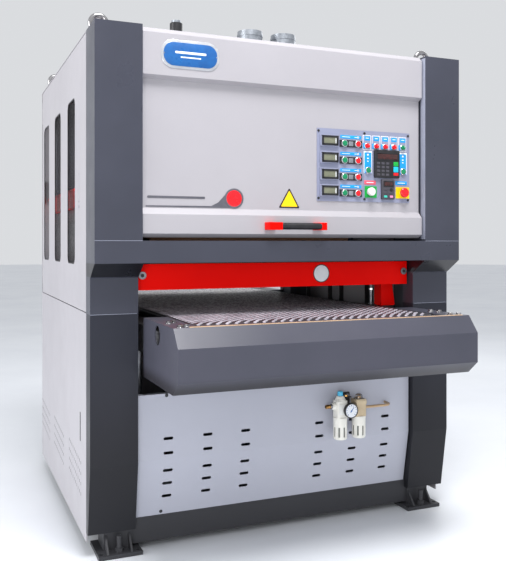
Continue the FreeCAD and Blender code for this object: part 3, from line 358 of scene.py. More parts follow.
def welled(width, height, depth, wells, gap):
    """Flat plate made of bars left round square wells, which are centred at the given x."""
    edges = [-width / 2]
    for well in wells:
        edges += [well - gap, well + gap]
    edges.append(width / 2)
    bars = [(left, right, -height / 2, height / 2) for left, right in zip(edges[::2], edges[1::2])]
    for well in wells:
        bars.append((well - gap, well + gap, gap, height / 2))
        bars.append((well - gap, well + gap, -height / 2, -gap))
    shape = bmesh.new()
    for left, right, below, above in bars:
        bar = bmesh.ops.create_cube(shape, size=1.0)["verts"]
        bmesh.ops.scale(shape, vec=(right - left, above - below, depth), verts=bar)
        bmesh.ops.translate(shape, vec=((left + right) / 2, (below + above) / 2, depth / 2),
                            verts=bar)
    return shape


def ring(outer, inner, depth, edge=0.8, steps=32):
    return turned([(inner, 0), (outer, 0), (outer, depth - edge), (outer - edge, depth),
                   (inner + edge, depth), (inner, depth - edge), (inner, 0)], steps)


def button(radius, depth, crown=0.6, edge=1.0, steps=32):
    """Round head with a softened rim and a slight crown."""
    flat = depth - crown
    return turned([(0, 0), (radius, 0), (radius, flat - edge),
                   (radius - 0.3 * edge, flat - 0.3 * edge), (radius - edge, flat),
                   (radius / 2, depth - crown * 0.25), (0, depth)], steps)


def sunk(width, height, depth, border, recess, corner=2.0):
    """Block whose front is sunk inside a border."""
    shape = block(width, height, depth, corner, 0.8)
    top = max((f for f in shape.faces if f.normal.z > 0.9), key=lambda f: f.calc_area())
    bmesh.ops.inset_region(shape, faces=[top], thickness=border, use_even_offset=True)
    bmesh.ops.inset_region(shape, faces=[top], thickness=0.3, depth=-recess,
                           use_even_offset=True)
    return shape


def gasket(width, height, border, depth, corner):
    """Flat frame with rounded corners."""
    shape = bmesh.new()
    bmesh.ops.create_grid(shape, x_segments=1, y_segments=1, size=0.5)
    bmesh.ops.scale(shape, vec=(width, height, 1), verts=shape.verts)
    bmesh.ops.bevel(shape, geom=shape.verts[:], offset=corner, offset_type="OFFSET", segments=8,
                    profile=0.5, affect="VERTICES", material=-1)
    pane = next(iter(shape.faces))
    bmesh.ops.inset_region(shape, faces=[pane], thickness=border, use_even_offset=True,
                           use_boundary=True)
    bmesh.ops.delete(shape, geom=[pane], context="FACES_ONLY")
    bmesh.ops.recalc_face_normals(shape, faces=shape.faces)
    bmesh.ops.solidify(shape, geom=shape.faces[:], thickness=depth)
    return shape


def sheet(points, thick):
    """Flat plate from outline points on the local XY plane."""
    shape = bmesh.new()
    face = shape.faces.new([shape.verts.new((x, y, 0)) for x, y in points])
    grown = bmesh.ops.extrude_face_region(shape, geom=[face])
    verts = [g for g in grown["geom"] if isinstance(g, bmesh.types.BMVert)]
    bmesh.ops.translate(shape, vec=(0, 0, thick), verts=verts)
    return shape


def put(shape, facing, x, y, z):
    bmesh.ops.transform(shape, matrix=Matrix.Translation((x, y, z)) @ facing, verts=shape.verts)
    return shape


def placed(shape, look, facing, x, y, z):
    """A shape in its place with the name of its finish, as build takes them."""
    return put(shape, facing, x, y, z), look


def turn_flat(shape, degrees):
    """Turn a shape round its own local Z before it is put in its place."""
    bmesh.ops.rotate(shape, cent=(0, 0, 0), matrix=Matrix.Rotation(math.radians(degrees), 3, "Z"),
                     verts=shape.verts)


def row_of(shape, step, count):
    """Repeat everything in the shape along a straight row."""
    bmesh.ops.spin(shape, geom=shape.verts[:] + shape.edges[:] + shape.faces[:], cent=(0, 0, 0),
                   axis=(0, 0, 1), dvec=step, angle=0.0, steps=count - 1, use_duplicate=True,
                   use_merge=False)
    return shape


def ring_of(shape, centre, axis, angle, count):
    """Repeat everything in the shape round an axis, angle apart."""
    bmesh.ops.spin(shape, geom=shape.verts[:] + shape.edges[:] + shape.faces[:], cent=centre,
                   axis=axis, dvec=(0, 0, 0), angle=angle * (count - 1), steps=count - 1,
                   use_duplicate=True, use_merge=False)
    return shape


def build(name, body, parts, replaces=(), crease=32.0):
    """Join finished shapes into one piece on a body.

    parts holds (shape, finish name) pairs; edges sharper than crease degrees stay sharp."""
    mesh = bpy.data.meshes.new(name)
    whole = bmesh.new()
    used = []
    for shape, look in parts:
        if look not in used:
            used.append(look)
            mesh.materials.append(finishes[look])
        bmesh.ops.recalc_face_normals(shape, faces=shape.faces)
        for face in shape.faces:
            face.material_index = used.index(look)
            face.smooth = True
        scrap = bpy.data.meshes.new("scrap")
        shape.to_mesh(scrap)
        shape.free()
        whole.from_mesh(scrap)
        bpy.data.meshes.remove(scrap)
    bmesh.ops.scale(whole, vec=(MM, MM, MM), verts=whole.verts)
    whole.to_mesh(mesh)
    whole.free()
    mesh.set_sharp_from_angle(angle=math.radians(crease))
    piece = bpy.data.objects.new(name, mesh)
    bpy.context.scene.collection.objects.link(piece)
    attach(piece, body)
    if replaces:
        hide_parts(*replaces)


def span(node):
    """Low and high corner of a CAD node, in millimetres."""
    low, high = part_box(node)
    return low / MM, high / MM


def middle(node):
    low, high = span(node)
    return (low + high) / 2


# ---------------------------------------------------------------- front door
def door_marks():
    """Plain plaque, trim strip, red button and warning triangle, all without lettering."""
    band = span("front_door")[0].y
    field = span("control_plates")[1].y
    plaque_x, plaque_z = -446, span("front_door")[1].z - 97
    plaque = [placed(block(240, 112, 2.5, 50, 1.0, 8), "bezel_silver", FRONT, plaque_x, band,
                     plaque_z),
              placed(block(220, 92, 4.0, 41, 1.0, 8), "plaque_blue", FRONT, plaque_x, band,
                     plaque_z),
              placed(block(128, 9, 4.3, 4, 0.3), "white_print_and_highlight", FRONT, plaque_x, band,
                     plaque_z + 7),
              placed(block(84, 5, 4.3, 2, 0.3), "white_print_and_highlight", FRONT, plaque_x, band,
                     plaque_z - 11)]
    for rivet in (-107, 107):
        plaque.append(placed(button(3.5, 4.4), "chrome", FRONT, plaque_x + rivet, band, plaque_z))
    build("door_plaque", "door", plaque)
    disc_x, disc_z = -254, 1403
    tail = sheet([(-366, -39), (0, -39), (0, 25), (-36, 17), (-68, -17), (-98, -32),
                  (-366, -34)], 1.4)
    build("trim_strip", "door",
          [placed(tail, "trim_grey", FRONT, disc_x, field, disc_z),
           placed(block(236, 9, 1.6, 4, 0.5), "trim_grey", FRONT, disc_x - 242, field, disc_z)])
    build("trim_button", "door",
          [placed(ring(41, 33, 2.4), "trim_grey", FRONT, disc_x, field, disc_z),
           placed(button(33.5, 3.6, 1.2), "red_plastic", FRONT, disc_x, field, disc_z)])
    warning_x, warning_z = -7, 1397
    build("warning_triangle", "door",
          [placed(prism(3, 56, 1.2, 6), "black_plastic", FRONT, warning_x, field, warning_z),
           placed(prism(3, 45, 1.8, 5), "hazard_yellow", FRONT, warning_x, field, warning_z)])


def door_handle():
    """Two red feet that slope out of the door's band, and a ringed grip between them."""
    low, high = span("door_handle")
    band = high.y
    middle_z = (low.z + high.z) / 2
    reach = band - low.y
    left_end = low.x + 24
    foot_length, foot_height, foot_rounding = 44.0, 31.0, 7.0
    left_foot, right_foot = 60.0, 22.0      # length of each foot at the grip
    feet = []
    for x, way, front in ((left_end, 1, left_foot), (high.x, -1, right_foot)):
        foot = sheet([(0, 0), (way * foot_length, 0), (way * foot_length, -reach * 0.4),
                      (way * front, -reach + 4), (way * front, -reach), (0, -reach)],
                     foot_height)
        soften(foot, foot.edges[:], foot_rounding, 4)
        feet.append(placed(foot, "red_paint", UP, x, band, middle_z - foot_height / 2))
    build("handle_feet", "door", feet, replaces=["door_handle"])
    radius, in_foot, set_back = 14.0, 4.0, 16
    grip_y = low.y + set_back
    grip_start = left_end + left_foot
    length = high.x - right_foot - grip_start
    profile = [(0, -in_foot), (radius - 2, -in_foot), (radius, -2)]
    for groove in range(5):
        start = 12 + groove * 5.0
        profile += [(radius, start), (radius - 1, start + 1), (radius - 1, start + 2),
                    (radius, start + 3)]
    profile += [(radius, length + 2), (radius - 2, length + in_foot), (0, length + in_foot)]
    build("handle_grip", "door",
          [placed(turned(profile, 40), "black_plastic", RIGHT, grip_start, grip_y, middle_z)])


# ---------------------------------------------------------------- control panel
CAP_WELL = 11.6     # half of the opening left round a push button's cap
HEAD_WELL = 9.4     # half of the opening round the reset button's and emergency stop's stems
SELECTORS = ["selector_%d" % number for number in range(1, 6)]
TABLE_BUTTONS = ["table_up_button", "table_down_button"]


def on_panel(shape, look, x, z, proud=0.0):
    """A shape standing on the control plates, or proud of them, with its finish."""
    return placed(shape, look, FRONT, x, span("control_plates")[0].y - proud, z)


def switch_rows():
    """Heights of the four rows of start and stop buttons."""
    return [middle("start_button_%d" % number).z for number in range(1, 5)]


def panel_meters():
    """A dark meter with an olive window in a plain surround, for each row; a white bar down the
    window's right edge is a painted highlight.
    """
    inset, rise = 57, 9     # from the plates' left edge, and above the row's switches
    x = span("control_plates")[0].x + inset
    meters = []
    for row in switch_rows():
        z = row + rise
        meters.append(on_panel(sunk(90, 52, 9, 4, 1.2, 3), "control_plate", x, z))
        meters.append(on_panel(sunk(79, 42, 12, 7, 3.0, 3), "black_plastic", x + 2, z))
        meters.append(on_panel(block(62, 26, 9.6, 1, 0.4), "display_olive", x + 2, z))
        # Painted highlight: a white bar down the right edge of the display window.
        meters.append(on_panel(block(3.5, 23, 10.4, 0.5, 0.4), "white_print_and_highlight", x + 29, z))
    build("panel_meters", "door", meters, replaces=["panel_instruments"])


def panel_keypads():
    """The large keypad, and the small one of the drive below it."""
    x, z = 464.0, 1570.0
    keys = [on_panel(block(128, 122, 12.5, 5, 2.0), "black_plastic", x, z),
            on_panel(sunk(114, 34, 14, 3, 1.0, 2), "black_plastic", x + 1, z + 32),
            on_panel(block(100, 22, 13.4, 1, 0.3), "display_dark", x + 1, z + 32)]
    for column in range(3):
        for line in range(4):
            keys.append(on_panel(block(16, 10.5, 13.8, 2, 0.8), "key_grey",
                                 x - 46 + column * 23, z + 2 - line * 16.5))
    for rise, tall, look in ((1, 19, "bright_green"), (-23, 24, "key_cyan"),
                             (-44, 12, "red_plastic")):
        keys.append(on_panel(block(24, tall, 13.9, 2, 0.8), look, x + 43, z + rise))
    x, z = 469.5, 1459.0
    keys += [on_panel(block(65, 88, 12, 4, 2.0), "key_grey", x, z),
             on_panel(sunk(52, 26, 13.6, 3, 1.0, 2), "black_plastic", x, z + 24),
             on_panel(block(42, 16, 13.2, 1, 0.3), "display_dark", x, z + 24)]
    for across, rise, look in ((-15, -32, "key_teal"), (15, -32, "key_pink"),
                               (-17, 0, "key_grey"), (-17, -15, "key_grey"),
                               (4, -15, "key_grey")):
        keys.append(on_panel(block(16, 9.5, 13.4, 2, 0.8), look, x + across, z + rise))
    keys.append(on_panel(button(8, 13.9), "black_plastic", x + 14, z - 2))
    build("panel_keypads", "door", keys, replaces=["panel_instruments"])


def panel_labels():
    """Coloured labels beside the switches, with plain bars where lettering would be."""
    labels = []
    rise = 29               # of a label above its row of switches
    for row in switch_rows():
        z = row + rise
        labels.append(on_panel(block(104, 14, 0.8, 1.5, 0.3), "label_blue", 286, z))
        for x, length in ((262, 40), (315, 22)):
            labels.append(on_panel(block(length, 2.2, 1.0, 0.4, 0.2), "white_print_and_highlight", x, z))
        labels.append(on_panel(block(9, 7, 1.0, 2, 0.2), "white_print_and_highlight", 322, z))
    for name in SELECTORS:
        x, _, z = middle(name)
        labels += [on_panel(block(40, 64, 0.5, 2, 0.3), "white_print_and_highlight", x + 1, z + 15),
                   on_panel(block(36, 60, 0.8, 2, 0.3), "control_plate", x + 1, z + 15),
                   on_panel(block(29, 19, 1.0, 2, 0.3), "label_blue", x + 3, z + 33),
                   on_panel(block(16, 3, 1.2, 1, 0.2), "white_print_and_highlight", x + 3, z + 34)]
    for name in TABLE_BUTTONS:
        x, _, z = middle(name)
        for width, height, depth, look in ((41, 72, 0.5, "white_print_and_highlight"),
                                           (35, 66, 1.0, "label_blue")):
            upper = block(width, height, depth, 2, 0.2)
            labels.append(on_panel(upper, look, x, z + 12 + height / 2))
            round_cap = welled(width, 24 + depth, depth, (0,), CAP_WELL)
            labels.append(on_panel(round_cap, look, x, z))
        for dot_rise, size in ((68, 8), (52, 5), (40, 4)):
            dot = block(9, size, 1.2, 2, 0.2)
            labels.append(on_panel(dot, "white_print_and_highlight", x, z + dot_rise))
    for x, z, width, height, bar, look in ((382, 1487, 58, 18, 36, "label_pink"),
                                           (542, 1489, 60, 17, 40, "label_blue")):
        labels.append(on_panel(block(width, height, 1.0, 2, 0.3), look, x, z))
        labels.append(on_panel(block(bar, 3, 1.2, 1, 0.2), "white_print_and_highlight", x, z))
    build("panel_labels", "door", labels)


def switch_bases():
    """Flat bases round the switches, open where a cap or a stem is pressed in."""
    bases = []
    centre = 285.5
    wells = [middle(name).x - centre for name in ("start_button_1", "stop_button_1")]
    for z in switch_rows():
        bases.append(on_panel(welled(111, 30, 3.2, wells, CAP_WELL), "black_plastic", centre, z))
        bases.append(on_panel(block(22, 20, 4.4, 1.5, 0.6), "galvanised", 285, z))
    for name in SELECTORS:
        x, _, z = middle(name)
        bases.append(on_panel(block(8, 24, 3.0, 2, 0.6), "label_blue", x - 14.4, z))
    for name, width, aside, look in (("reset_button", 60, 5, "bright_green"),
                                     ("emergency_stop", 70, 0, "hazard_yellow")):
        x, _, z = middle(name)
        base = welled(width, 50, 2.0, (-aside,), HEAD_WELL)
        bases.append(on_panel(base, look, x + aside, z))
    build("switch_bases", "door", bases, replaces=["control_bases"])


def switch_bezels():
    cap_bezel = (15, 11.3, 8, 1.6)
    bezels = []
    for z in switch_rows():
        for name in ("start_button_1", "stop_button_1"):
            bezels.append(on_panel(ring(*cap_bezel), "bezel_silver", middle(name).x, z, proud=3))
    sizes = [(name, (13, 9.6, 6, 1.4)) for name in SELECTORS]
    sizes += [(name, cap_bezel) for name in TABLE_BUTTONS]
    sizes += [(name, (15, 9.1, 6, 1.2)) for name in ("reset_button", "emergency_stop")]
    for name, size in sizes:
        x, _, z = middle(name)
        bezels.append(on_panel(ring(*size), "bezel_silver", x, z))
    build("switch_bezels", "door", bezels)


def panel_screws():
    low, high = span("control_plates")
    plate_joint = 354.0     # the screws between the two plates
    screws = []
    for x in (low.x + 7, plate_joint, high.x - 8):
        for z in (low.z + 12, high.z - 12):
            screws.append(on_panel(ring(5.5, 1.6, 2.2, 0.7, 24), "black_plastic", x, z))
            screws.append(on_panel(prism(6, 2.2, 1.0), "dark_rubber_and_slot_shade", x, z))
    build("panel_screws", "door", screws)


def push_buttons():
    off_plate = 0.3     # keeps a pressed cap's back clear of the plate
    names = ["%s_button_%d" % (kind, number) for kind in ("start", "stop")
             for number in range(1, 5)]
    for name in names + TABLE_BUTTONS:
        low, high = span(name)
        x, _, z = middle(name)
        look = "red_plastic" if name.startswith("stop") else "green_plastic"
        back = high.y - off_plate
        cap = button((high.x - low.x) / 2, back - low.y, 0.7, 1.2, 36)
        build(name.replace("button", "cap"), name, [placed(cap, look, FRONT, x, back, z)],
              replaces=[name])


def selectors():
    """Knobs with a skirt, a grip bar across it and a white line; the last one is green."""
    for number, name in enumerate(SELECTORS, start=1):
        low, high = span(name)
        x, _, z = middle(name)
        look = "red_plastic" if number < len(SELECTORS) else "green_plastic"
        radius = (high.x - low.x) / 2
        depth = high.y - low.y
        skirt = button(radius, depth - 5, 0.5, 1.2, 36)
        grip = block(6, 2 * radius - 2, depth, 0, 1.2)
        line = block(1.4, 6, depth + 0.3, 0.3, 0.1)
        build("selector_knob_%d" % number, name,
              [placed(skirt, look, FRONT, x, high.y, z), placed(grip, look, FRONT, x, high.y, z),
               placed(line, "white_print_and_highlight", FRONT, x, high.y, z + 4)], replaces=[name])


# ---------------------------------------------------------------- safety bar
def bar_marks():
    """White disc on the bar, and the heads of its two shoulder bolts, each with a dark hexagon as
    painted shade for its socket.
    """
    face = span("safety_bar")[0].y
    disc_x, disc_z = 189, 1090
    build("bar_disc", "bar",
          [placed(ring(40, 36, 1.4, 0.4, 40), "black_plastic", FRONT, disc_x, face, disc_z),
           placed(button(37, 1.0, 0.1, 0.3, 40), "white_print_and_highlight", FRONT, disc_x, face, disc_z)])
    bolt_x, bolt_z, head = 612, 1094, 6.3
    sockets = []
    for x in (-bolt_x, bolt_x):
        # The dark hexagon is painted shade of the socket recess; the zinc ring is the head's rim.
        sockets += [placed(prism(6, 8, 0.5, 0, 0.1), "black_plastic", FRONT, x, face - head,
                           bolt_z),
                    placed(ring(15.5, 13.5, 1.2, 0.3), "zinc", FRONT, x, face - head, bolt_z)]
    build("bar_bolt_socket_shade", "frame", sockets)


# ---------------------------------------------------------------- feed table
def belt_ribs():
    """Rough top of the feed belt: slanting ribs in staggered rows, carried round both rollers."""
    low, high = span("feed_belt")
    axis = middle("feed_idler_roller")
    pitch_x, pitch_y = 37.0, 18.5
    columns, edge_gap, slant = 27, 20, 38
    rib_length, rib_width, rib_height, rib_rise = 29, 11, 3.0, 1.0
    row = bmesh.new()
    bmesh.ops.create_cube(row, size=1.0)
    bmesh.ops.scale(row, vec=(rib_length, rib_width, rib_height), verts=row.verts)
    crest = [v for v in row.verts if v.co.z > 0]
    bmesh.ops.scale(row, vec=(0.8, 0.5, 1.0), verts=crest)
    soften(row, [e for e in row.edges if all(v in crest for v in e.verts)], 0.8, 1)
    bmesh.ops.delete(row, geom=[f for f in row.faces if f.normal.z < -0.9],
                     context="FACES_ONLY")
    turn_flat(row, slant)
    bmesh.ops.translate(row, vec=(low.x + edge_gap, 0, high.z + rib_rise), verts=row.verts)
    row_of(row, (pitch_x, 0, 0), columns)
    scrap = bpy.data.meshes.new("scrap")
    row.to_mesh(scrap)
    row.free()

    # Two rows make a pair, one of them set nearly half a pitch aside.
    aside = pitch_x / 2 - 4
    pair = bmesh.new()
    pair.from_mesh(scrap)
    bmesh.ops.translate(pair, vec=(aside, pitch_y, 0), verts=pair.verts)
    pair.from_mesh(scrap)
    bpy.data.meshes.remove(scrap)
    pairs = int(abs(axis.y) / pitch_y)
    top = pair.copy()
    bmesh.ops.translate(top, vec=(0, -pairs * pitch_y, 0), verts=top.verts)
    row_of(top, (0, 2 * pitch_y, 0), pairs)
    parts = [(top, "rib_rubber_painted_sheen")]

    # Three pairs go round each roller, a pair's pitch apart along the belt's surface.
    turn = 2 * pitch_y / (high.z - axis.z)
    for side, start in ((-1, axis.y), (1, -axis.y)):
        bend = pair.copy()
        bmesh.ops.translate(bend, vec=(0, start - pitch_y / 2, 0), verts=bend.verts)
        centre = Vector((0, start, axis.z))
        bmesh.ops.rotate(bend, cent=centre, matrix=Matrix.Rotation(-side * turn * 0.75, 3, "X"),
                         verts=bend.verts)
        parts.append((ring_of(bend, centre, (1, 0, 0), -side * turn, 3), "rib_rubber_painted_sheen"))
    pair.free()
    build("belt_ribs", "table", parts, crease=20.0)


def table_fittings():
    """Strips and bolts on both noses; a red wedge and a post behind the safety bar."""
    nose = span("table_noses")[1]
    top = nose.z
    strip_inset = 60.0      # from the nose's front edge to the strip's middle
    bolt_places = ((588, 1062), (560, 1046), (590, 930), (566, 905))
    strips = []
    bolts = []
    for side in (-1, 1):
        strips.append(placed(block(1150, 9, 2.4, 0, 0.8), "strip_tan", UP, 15,
                             side * (nose.y - strip_inset), top))
        for end in (-1, 1):
            for bolt_x, bolt_y in bolt_places:
                x, y = end * bolt_x, side * bolt_y
                bolts.append(placed(ring(14, 4, 1.8, 0.4, 24), "chrome", UP, x, y, top))
                bolts.append(placed(prism(6, 10, 8), "chrome", UP, x, y, top + 1))
    build("nose_strips", "table", strips)
    build("nose_bolts", "table", bolts)
    plate, height = 3.0, 105
    wedge = sheet([(0, 0), (74, 0), (58, height), (0, height)], plate)
    flange = sheet([(0, 0), (60, 0), (48, height), (0, height)], plate)
    foot = block(70, 50, plate, 4, 0.8)
    build("guide_wedge", "table",
          [placed(wedge, "red_paint", FRONT, 538, -560, top + plate),
           placed(flange, "red_paint", LEFT, 538 + plate, -503, top + plate),
           placed(foot, "red_paint", UP, 575, -532, top)])
    post_x, post_y, nut_rise = 548, -458, 68
    post = turned([(0, 0), (14, 0), (14, 4), (8, 5), (8, 84), (6, 86), (6, 92), (0, 93)], 24)
    build("guide_post", "table",
          [placed(post, "zinc", UP, post_x, post_y, top),
           placed(prism(6, 11, 8), "chrome", UP, post_x, post_y, top + nut_rise)])


# ---------------------------------------------------------------- air unit
BODY = 75.0             # height of the two housings
BODY_HALF = 25.0        # half their width
COLLAR_DROP = 10.0      # of the ring under each housing


def slotted_guard(radius, height, steps=24):
    """Bowl guard, closed below, with a row of upright windows."""
    window_low, window_high = 14, 56
    shape = turned([(0, 0), (radius - 8, 0), (radius - 2, 3), (radius, 8), (radius, window_low),
                    (radius, window_high), (radius, height)], steps)
    windows = []
    for face in shape.faces:
        centre = face.calc_center_median()
        turn = math.degrees(math.atan2(centre.y, centre.x)) % 360
        every_third = round(turn / (360 / steps) - 0.5) % 3 == 0
        if window_low < centre.z < window_high and every_third:
            windows.append(face)
    bmesh.ops.delete(shape, geom=windows, context="FACES")
    bmesh.ops.recalc_face_normals(shape, faces=shape.faces)
    bmesh.ops.solidify(shape, geom=shape.faces[:], thickness=2.2)
    return shape


def collar_and_bowl(x, y, bottom, foot):
    """Ring under a housing, the slotted guard and the smoky bowl inside it."""
    tall = bottom - foot
    bowl = turned([(0, 6), (20, 6), (25, 12), (25, tall), (0, tall)])
    return [placed(ring(30.5, 20, 12, 1.5), "air_housing", UP, x, y, bottom - COLLAR_DROP),
            placed(slotted_guard(30, tall), "air_housing", UP, x, y, foot),
            placed(bowl, "bowl_smoke", UP, x, y, foot)]


def air_set():
    """Filter with its knob and gauge, oiler beside it, bracket and inlet."""
    under_knob, oiler_apart = 18.3, 92
    gauge_aside, gauge_out, gauge_rise = 30, 28, 34
    inlet_rise = 50
    x, y, _ = middle("regulator_knob")
    top = span("regulator_knob")[0].z - under_knob
    bottom = top - BODY
    air_regulator(x, y, top, bottom)
    air_oiler(x + oiler_apart, y, top, bottom)
    air_bracket(x, y, top, bottom)
    air_gauge(x + gauge_aside, y - gauge_out, bottom + gauge_rise)
    air_inlet(x - BODY_HALF, y, bottom + inlet_rise)
    pressure_knob(x, y)


def air_regulator(x, y, top, bottom):
    neck = turned([(0, 0), (23, 0), (23, 3), (21.5, 5), (16.5, 17), (15, 18), (0, 18)])
    build("air_regulator", "frame",
          [placed(block(50, 50, BODY, 9, 3), "air_housing", UP, x, y, bottom),
           placed(neck, "air_housing", UP, x, y, top),
           placed(block(36, 44, 2, 3, 0.6), "white_plastic", FRONT, x, y - BODY_HALF,
                  bottom + 38)]
          + collar_and_bowl(x, y, bottom, span("air_unit")[0].z), replaces=["air_unit"])


def air_oiler(x, y, top, bottom):
    build("air_oiler", "frame",
          [placed(block(50, 50, BODY, 6, 3), "housing_tan", UP, x, y, bottom),
           placed(block(54, 54, 16, 6, 2), "housing_tan", UP, x, y, bottom + 54)]
          + collar_and_bowl(x, y, bottom, span("air_unit")[0].z), replaces=["air_unit"])
    dome = turned([(0, 0), (17, 0), (17, 8), (15, 15), (9, 20), (0, 22)])
    nozzle = turned([(0, 0), (7, 0), (7, 9), (0, 11)], 20)
    build("oiler_dome", "frame", [placed(dome, "dome_clear", UP, x, y, top),
                                                 placed(nozzle, "brass", UP, x, y, top)])


def air_bracket(x, y, top, bottom):
    """Joint between the two housings, its arm to the wall plate, and a valve on top."""
    wall = span("air_unit")[1].y
    joint_x, joint_half = x + 46, 14
    arm = wall - y - joint_half
    build("air_bracket", "frame",
          [placed(block(42, 2 * joint_half, 28, 3, 1), "black_plastic", UP, joint_x, y,
                  bottom + 14),
           placed(block(28, arm, 28, 2, 1), "zinc", UP, joint_x, (wall + y + joint_half) / 2,
                  bottom + 14),
           placed(block(58, 86, 3, 5, 0.8), "black_plastic", FRONT, x + 50, wall, bottom + 52),
           placed(block(26, 40, 4, 3, 0.8), "black_plastic", UP, joint_x, y + 24, top + 6),
           placed(prism(6, 8, 7), "brass", UP, x + 38, y + 16, top + 9),
           placed(prism(6, 7, 7), "zinc", UP, x + 54, y + 30, top + 9)])


def air_gauge(x, back, z):
    """Round gauge with eleven ticks and a needle, on a brass stem."""
    case = turned([(0, 0), (26, 0), (31, 3), (32, 6), (32, 18), (31, 20), (29, 20),
                   (28.6, 17.4), (0, 17.4)], 48)
    stem = turned([(0, 0), (7, 0), (7, 14), (0, 14)], 20)
    dial = [placed(case, "black_plastic", FRONT, x, back, z),
            placed(button(28.2, 17.8, 0.1, 0.2, 48), "white_print_and_highlight", FRONT, x, back, z),
            placed(stem, "brass", BACK, x, back, z)]
    for mark in range(11):
        tick = block(1.6 if mark % 5 else 2.6, 5, 18.2, 0, 0.1)
        bmesh.ops.translate(tick, vec=(0, 23, 0), verts=tick.verts)
        turn_flat(tick, 135 - 27 * mark)
        dial.append(placed(tick, "plaque_blue", FRONT, x, back, z))
    needle = sheet([(-2.2, -8), (2.2, -8), (0.8, 19), (-0.8, 19)], 18.6)
    turn_flat(needle, -38)
    dial.append(placed(needle, "plaque_blue", FRONT, x, back, z))
    dial.append(placed(button(3.5, 19.2, 0.4, 0.4, 20), "plaque_blue", FRONT, x, back, z))
    build("air_gauge", "frame", dial)


def air_inlet(x, y, z):
    """Hollow brass hose end with three barbs, a nut and a pale collar."""
    reach = x - span("air_unit")[0].x
    bore, bore_depth = 6.1, 26
    profile = [(bore, reach), (bore, reach - bore_depth), (0, reach - bore_depth), (0, 0),
               (8, 0), (8, 12), (9, 13), (9, 24), (8, 26)]
    for barb in (28, 33, 38):
        profile += [(8, barb), (9.2, barb + 2)]
    profile += [(8, reach), (bore, reach)]
    collar = turned([(0, 0), (17, 0), (17, 6), (14, 9), (14, 13), (12, 15), (0, 15)])
    build("air_inlet", "frame",
          [placed(turned(profile, 28), "brass", LEFT, x, y, z),
           placed(prism(6, 11, 8), "zinc", LEFT, x - 16, y, z),
           placed(collar, "air_housing", LEFT, x, y, z)])


def pressure_knob(x, y):
    low, high = span("regulator_knob")
    height = high.z - low.z
    radius, ribs = 11.2, 18
    knob = turned([(0, 0), (radius, 0), (radius, height - 3), (10, height - 0.6), (8, height),
                   (0, height)], 36)
    rib = block(2.2, 1.4, height - 5, 0, 0.3)
    bmesh.ops.translate(rib, vec=(0, radius, 1), verts=rib.verts)
    ring_of(rib, (0, 0, 0), (0, 0, 1), math.radians(360 / ribs), ribs)
    build("pressure_knob", "air_knob",
          [placed(knob, "knob_blue", UP, x, y, low.z), placed(rib, "knob_blue", UP, x, y, low.z)],
          replaces=["regulator_knob"])


# ---------------------------------------------------------------- sides, roof and back
DRUMS = ["contact_drum_%d" % number for number in range(1, 4)]


def front_seams():
    """Light lines where the folded covers meet, a pale strip on each column beside the door as a
    painted reflection of the door panel, and two low screws.
    """
    column_low, column_high = span("upper_columns")
    lower_face = span("lower_columns")[0].y
    lower_seam = 948.0
    door_gap, reflection_width, reflection_set_back = 6, 34, 19
    inner = span("front_door")[1].x + door_gap
    width = column_high.x - inner
    seams = []
    for side in (-1, 1):
        for face, z in ((column_low.y, column_low.z), (lower_face, lower_seam)):
            seams.append(placed(block(width, 1.6, 0.3, 0, 0.1), "pale_seam_and_reflection", FRONT,
                                side * (inner + width / 2), face, z))
    build("cover_seams", "frame", seams)
    end_gap = 8.0
    tall = column_high.z - column_low.z - 2 * end_gap
    # A pale strip on each column's inner face beside the door: painted reflection of the door
    # panel.
    reflection_strips = []
    for side, facing in ((-1, RIGHT), (1, LEFT)):
        reflection_strips.append(placed(block(reflection_width, tall, 0.8, 0, 0.2), "pale_seam_and_reflection", facing,
                           side * inner, column_low.y + reflection_set_back,
                           column_low.z + end_gap + tall / 2))
    build("door_gap_reflection", "frame", reflection_strips)
    panel_low, panel_high = span("lower_front_panel")
    screws = []
    for x, y, z in ((-515, panel_low.y, panel_high.z - 7), (-528, panel_low.y + 41, 138)):
        screws.append(placed(button(7, 2.2, 0.6, 0.5, 16), "black_plastic", FRONT, x, y, z))
    build("low_panel_screws", "frame", screws)


def side_details():
    """Window seals, latch lock, panel pull and rows of vents, thin enough to lie in the paint. The
    vents are thin dark strips and the lock's socket a dark hexagon: painted shade standing in for
    openings.
    """
    left = span("side_door")[0].x
    glass_low, glass_high = span("side_windows")
    glass_lap = 12.0        # of the glass behind the seal's outer edge, above and below
    set_back = 0.4          # of the seal behind the door's skin
    seals = []
    for drum in DRUMS:
        seal = gasket(200, glass_high.z - glass_low.z - 2 * glass_lap, 6, 3.6, 35)
        seals.append(placed(seal, "dark_rubber_and_slot_shade", LEFT, left + set_back, middle(drum).y,
                            (glass_low.z + glass_high.z) / 2))
    build("window_seals", "left_door", seals)
    lock_y, lock_z = middle("side_latch").y, span("side_latch")[0].z - 20
    # The dark hexagon in the zinc ring is painted shade of the lock's socket.
    build("latch_lock_and_socket_shade", "left_door",
          [placed(ring(8, 3, 0.5, 0.2, 24), "zinc", LEFT, left, lock_y, lock_z),
           placed(prism(6, 3.4, 0.4, 0, 0.1), "black_plastic", LEFT, left, lock_y, lock_z)])
    pull_y, pull_z = -456, 476
    build("panel_pull", "frame",
          [placed(block(18, 120, 0.3, 7, 0.1), "dark_rubber_and_slot_shade", LEFT, left, pull_y, pull_z),
           placed(block(11, 112, 0.45, 5, 0.1), "black_plastic", LEFT, left, pull_y, pull_z)])
    # Vents: thin dark strips on the side panels, painted shade where the open slots would be.
    lowest, line_pitch = 205, 42
    slot_pitch, slot_rise, slots = 32, 3.0, 10
    vents = []
    for facing, x in ((LEFT, left), (RIGHT, -left)):
        for start in (-470, -10, 450):
            for line in range(4):
                slot = put(block(4.5, 14, 0.3, 2.0, 0, 2), facing, x, start,
                           lowest + line * line_pitch)
                vents.append((row_of(slot, (0, slot_pitch, slot_rise), slots), "dark_rubber_and_slot_shade"))
    build("side_vent_shade", "frame", vents)


